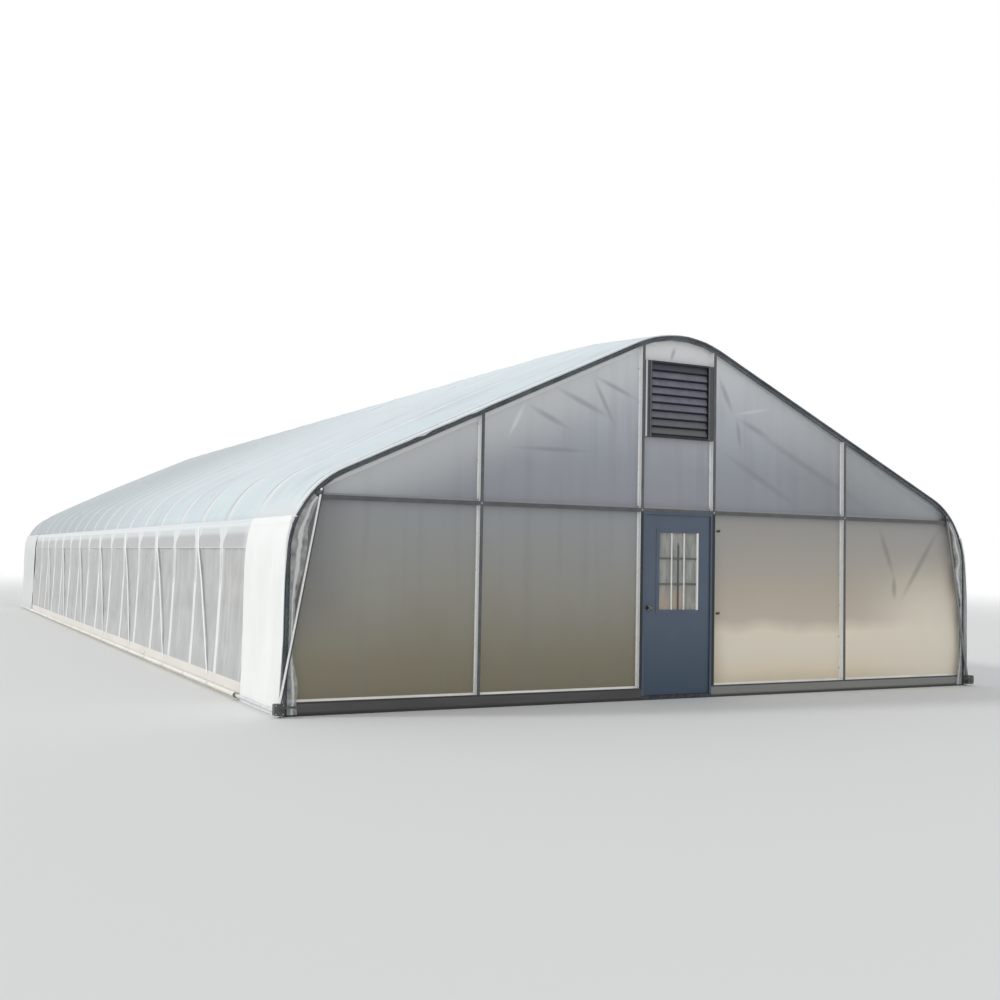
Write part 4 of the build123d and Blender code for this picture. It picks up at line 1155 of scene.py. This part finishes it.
vent_grey = coat("vent_grey", (0.235, 0.235, 0.280), (0.185, 0.185, 0.225), 0.10, (0.45, 0.6))
vent_grey.node_tree.nodes["Principled BSDF"].inputs["Specular IOR Level"].default_value = 0.15
blade_z = where(vent_grey)[2]
phase = repeat(work("SUBTRACT", blade_z, vent_low[2] + VENT_RIM), blade_pitch)
top_blade = vent_high[2] - VENT_RIM - blade_pitch
lay_over(vent_grey, (0.16, 0.17, 0.16), (blade_z, 3.35, 3.0, 0.0, 0.8))
lay_over(vent_grey, (0.10, 0.105, 0.12),
         (blade_z, top_blade + 0.18 * blade_pitch, top_blade + 0.22 * blade_pitch))
# Painted shadow: a dark line under each blade.
lay_over(vent_grey, (0.018, 0.019, 0.030), (phase, 0.215, 0.190))
paint(vent_grey, "vent_blades")
SCREEN_EDGE = 0.018
RIVET_X, RIVET_STEP = 0.404, 0.16
screen = block((0, vent_high[1] + 0.004, (vent_low[2] + vent_high[2]) / 2),
               (vent_high[0] - vent_low[0] - 0.11, 0.006, vent_high[2] - vent_low[2] - 0.01))
screen.name = "vent_screen"
choose(lambda centre, normal: abs(normal.y) > 0.9)
bpy.ops.mesh.inset(thickness=SCREEN_EDGE)
bpy.ops.mesh.inset(thickness=0.001, depth=-0.0022)
bpy.ops.object.mode_set(mode="OBJECT")
mesh_black = coat("insect_mesh", (0.030, 0.031, 0.034), (0.016, 0.017, 0.019), 0.01, (0.6, 0.8))
for across in (0, 2):
    strands = repeat(where(mesh_black)[across], 0.004)
    lay_over(mesh_black, (0.07, 0.072, 0.075), (strands, 0.35, 0.0, 0.0, 0.7))
screen.data.materials.append(mesh_black)
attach(screen, "greenhouse")
rivet_zs = [vent_low[2] + 0.03 + i * RIVET_STEP for i in range(6)]
rivet_spots = [facing((0, -1, 0), (side * RIVET_X, front - VENT_LIP, z))
               for side in (1, -1) for z in rivet_zs]
copies("vent_rivets", screw_head("vent_rivet", 0.006, 0.0045, 0.001, 0.002), rivet_spots, vent_rim)

# Door: an insulated steel door with a half light in a steel frame painted the same blue, hung on
# three loose-pin hinges on its right, over a worn aluminium threshold.
door_blue = coat("door_blue", (0.098, 0.132, 0.182), (0.084, 0.115, 0.160), 0.4, (0.35, 0.5),
                 bump=0.0004)
lay_over(door_blue, (0.048, 0.080, 0.130), (where(door_blue)[2], 1.20, 0.05, 0.0, 0.9))
paint(door_blue, "door_leaf")
jamb_blue = coat("door_frame_blue", (0.092, 0.124, 0.178), (0.075, 0.103, 0.150), 0.2, (0.45, 0.65))
paint(jamb_blue, "door_frame")
worn_mill = coat("worn_threshold", (0.09, 0.095, 0.10), (0.03, 0.032, 0.035), 0.05, (0.35, 0.55),
                 metallic=0.5)
paint(worn_mill, "threshold")
hinge_steel = coat("hinge_steel", (0.55, 0.55, 0.55), (0.40, 0.40, 0.41), 0.03, (0.3, 0.5),
                   metallic=0.8)
paint(hinge_steel, "hinge_frames", "hinge_leaves")

# Half light: a clear pane in a moulded frame that clamps round an opening in the leaf, behind a
# grid of white bars that is held in the same frame.
lite_frame = coat("lite_frame_paint_and_highlight", (0.098, 0.130, 0.182), (0.082, 0.110, 0.158), 0.1,
                  (0.35, 0.5))
pane_low, pane_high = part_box("door_bars")
frame_x, _, frame_z = where(lite_frame)
# Painted highlight on the lit right inner edge of the frame.
lay_over(lite_frame, (0.98, 0.97, 0.92), (frame_x, pane_high[0] - 0.004, pane_high[0] - 0.002),
         (frame_x, pane_high[0] + 0.024, pane_high[0] + 0.021),
         (frame_z, pane_low[2] - 0.006, pane_low[2] - 0.002),
         (frame_z, pane_high[2] + 0.006, pane_high[2] + 0.002))
paint(lite_frame, "lite_frame")
bar_white = coat("bar_white", (0.97, 0.95, 0.90), (0.88, 0.86, 0.81), 0.05, (0.4, 0.6))
bar_x = where(bar_white)[0]
bar_xs = [pane_low[0] + share * (pane_high[0] - pane_low[0]) for share in (1 / 3, 2 / 3)]
off_bar = work("MINIMUM", *(apart(bar_x, centre) for centre in bar_xs))
# Painted shade: the horizontal bars are drawn dark, while the uprights stay white.
lay_over(bar_white, (0.13, 0.135, 0.13), (off_bar, 0.0085, 0.0105))
paint(bar_white, "door_bars")
glass = coat("door_glass", (0.50, 0.49, 0.44), (0.30, 0.31, 0.29), 0.06, (0.05, 0.12), alpha=0.80,
             stretch=(1, 1, 0.25))
glass_x, _, glass_z = where(glass)
# The pane's colours are painted light seen through it: the lit inside, warmer low down, and a dark
# upright band high up.
lay_over(glass, (0.62, 0.47, 0.36), (glass_z, 1.35, 1.05, 0.0, 0.7), (glass_x, 0.16, 0.06))
lay_over(glass, (0.06, 0.06, 0.055), (apart(glass_x, 0.022), 0.020, 0.010, 0.0, 0.85),
         (glass_z, 1.78, 1.70))
paint(glass, "door_glass")

# Knob: a round turned knob of worn dark bronze on a round rose, on both faces of the leaf, with
# one spindle through both.
bronze = coat("worn_bronze", (0.22, 0.21, 0.20), (0.12, 0.115, 0.11), 0.02, (0.10, 0.22),
              metallic=1.0)
paint(bronze, "door_knob", "knob_roses")

# Door catches: two small dark hooks on plates, screwed to the sheet just right of the door, that
# hold the open door back.
CATCH_X = DOOR_POST + POST_HALF + 0.085
CATCH_ZS = (0.95, 1.90)
HOOK_HALF = 0.006
catch = block((0, 0, 0.002), (0.055, 0.024, 0.004))
for side in (1, -1):
    split((side * HOOK_HALF, 0, 0), (1, 0, 0))
choose(lambda centre, normal: normal.z > 0.9 and abs(centre.x) < HOOK_HALF)
bpy.ops.mesh.inset(thickness=0.003)
draw_out(0, 0, 0.022)
draw_out(0, 0.014, 0.004)
bpy.ops.object.mode_set(mode="OBJECT")
catch_spots = [facing((0, -1, 0), (CATCH_X, front + SHEET_FACE, z)) for z in CATCH_ZS]
copies("door_catches", catch, catch_spots, cast_iron)
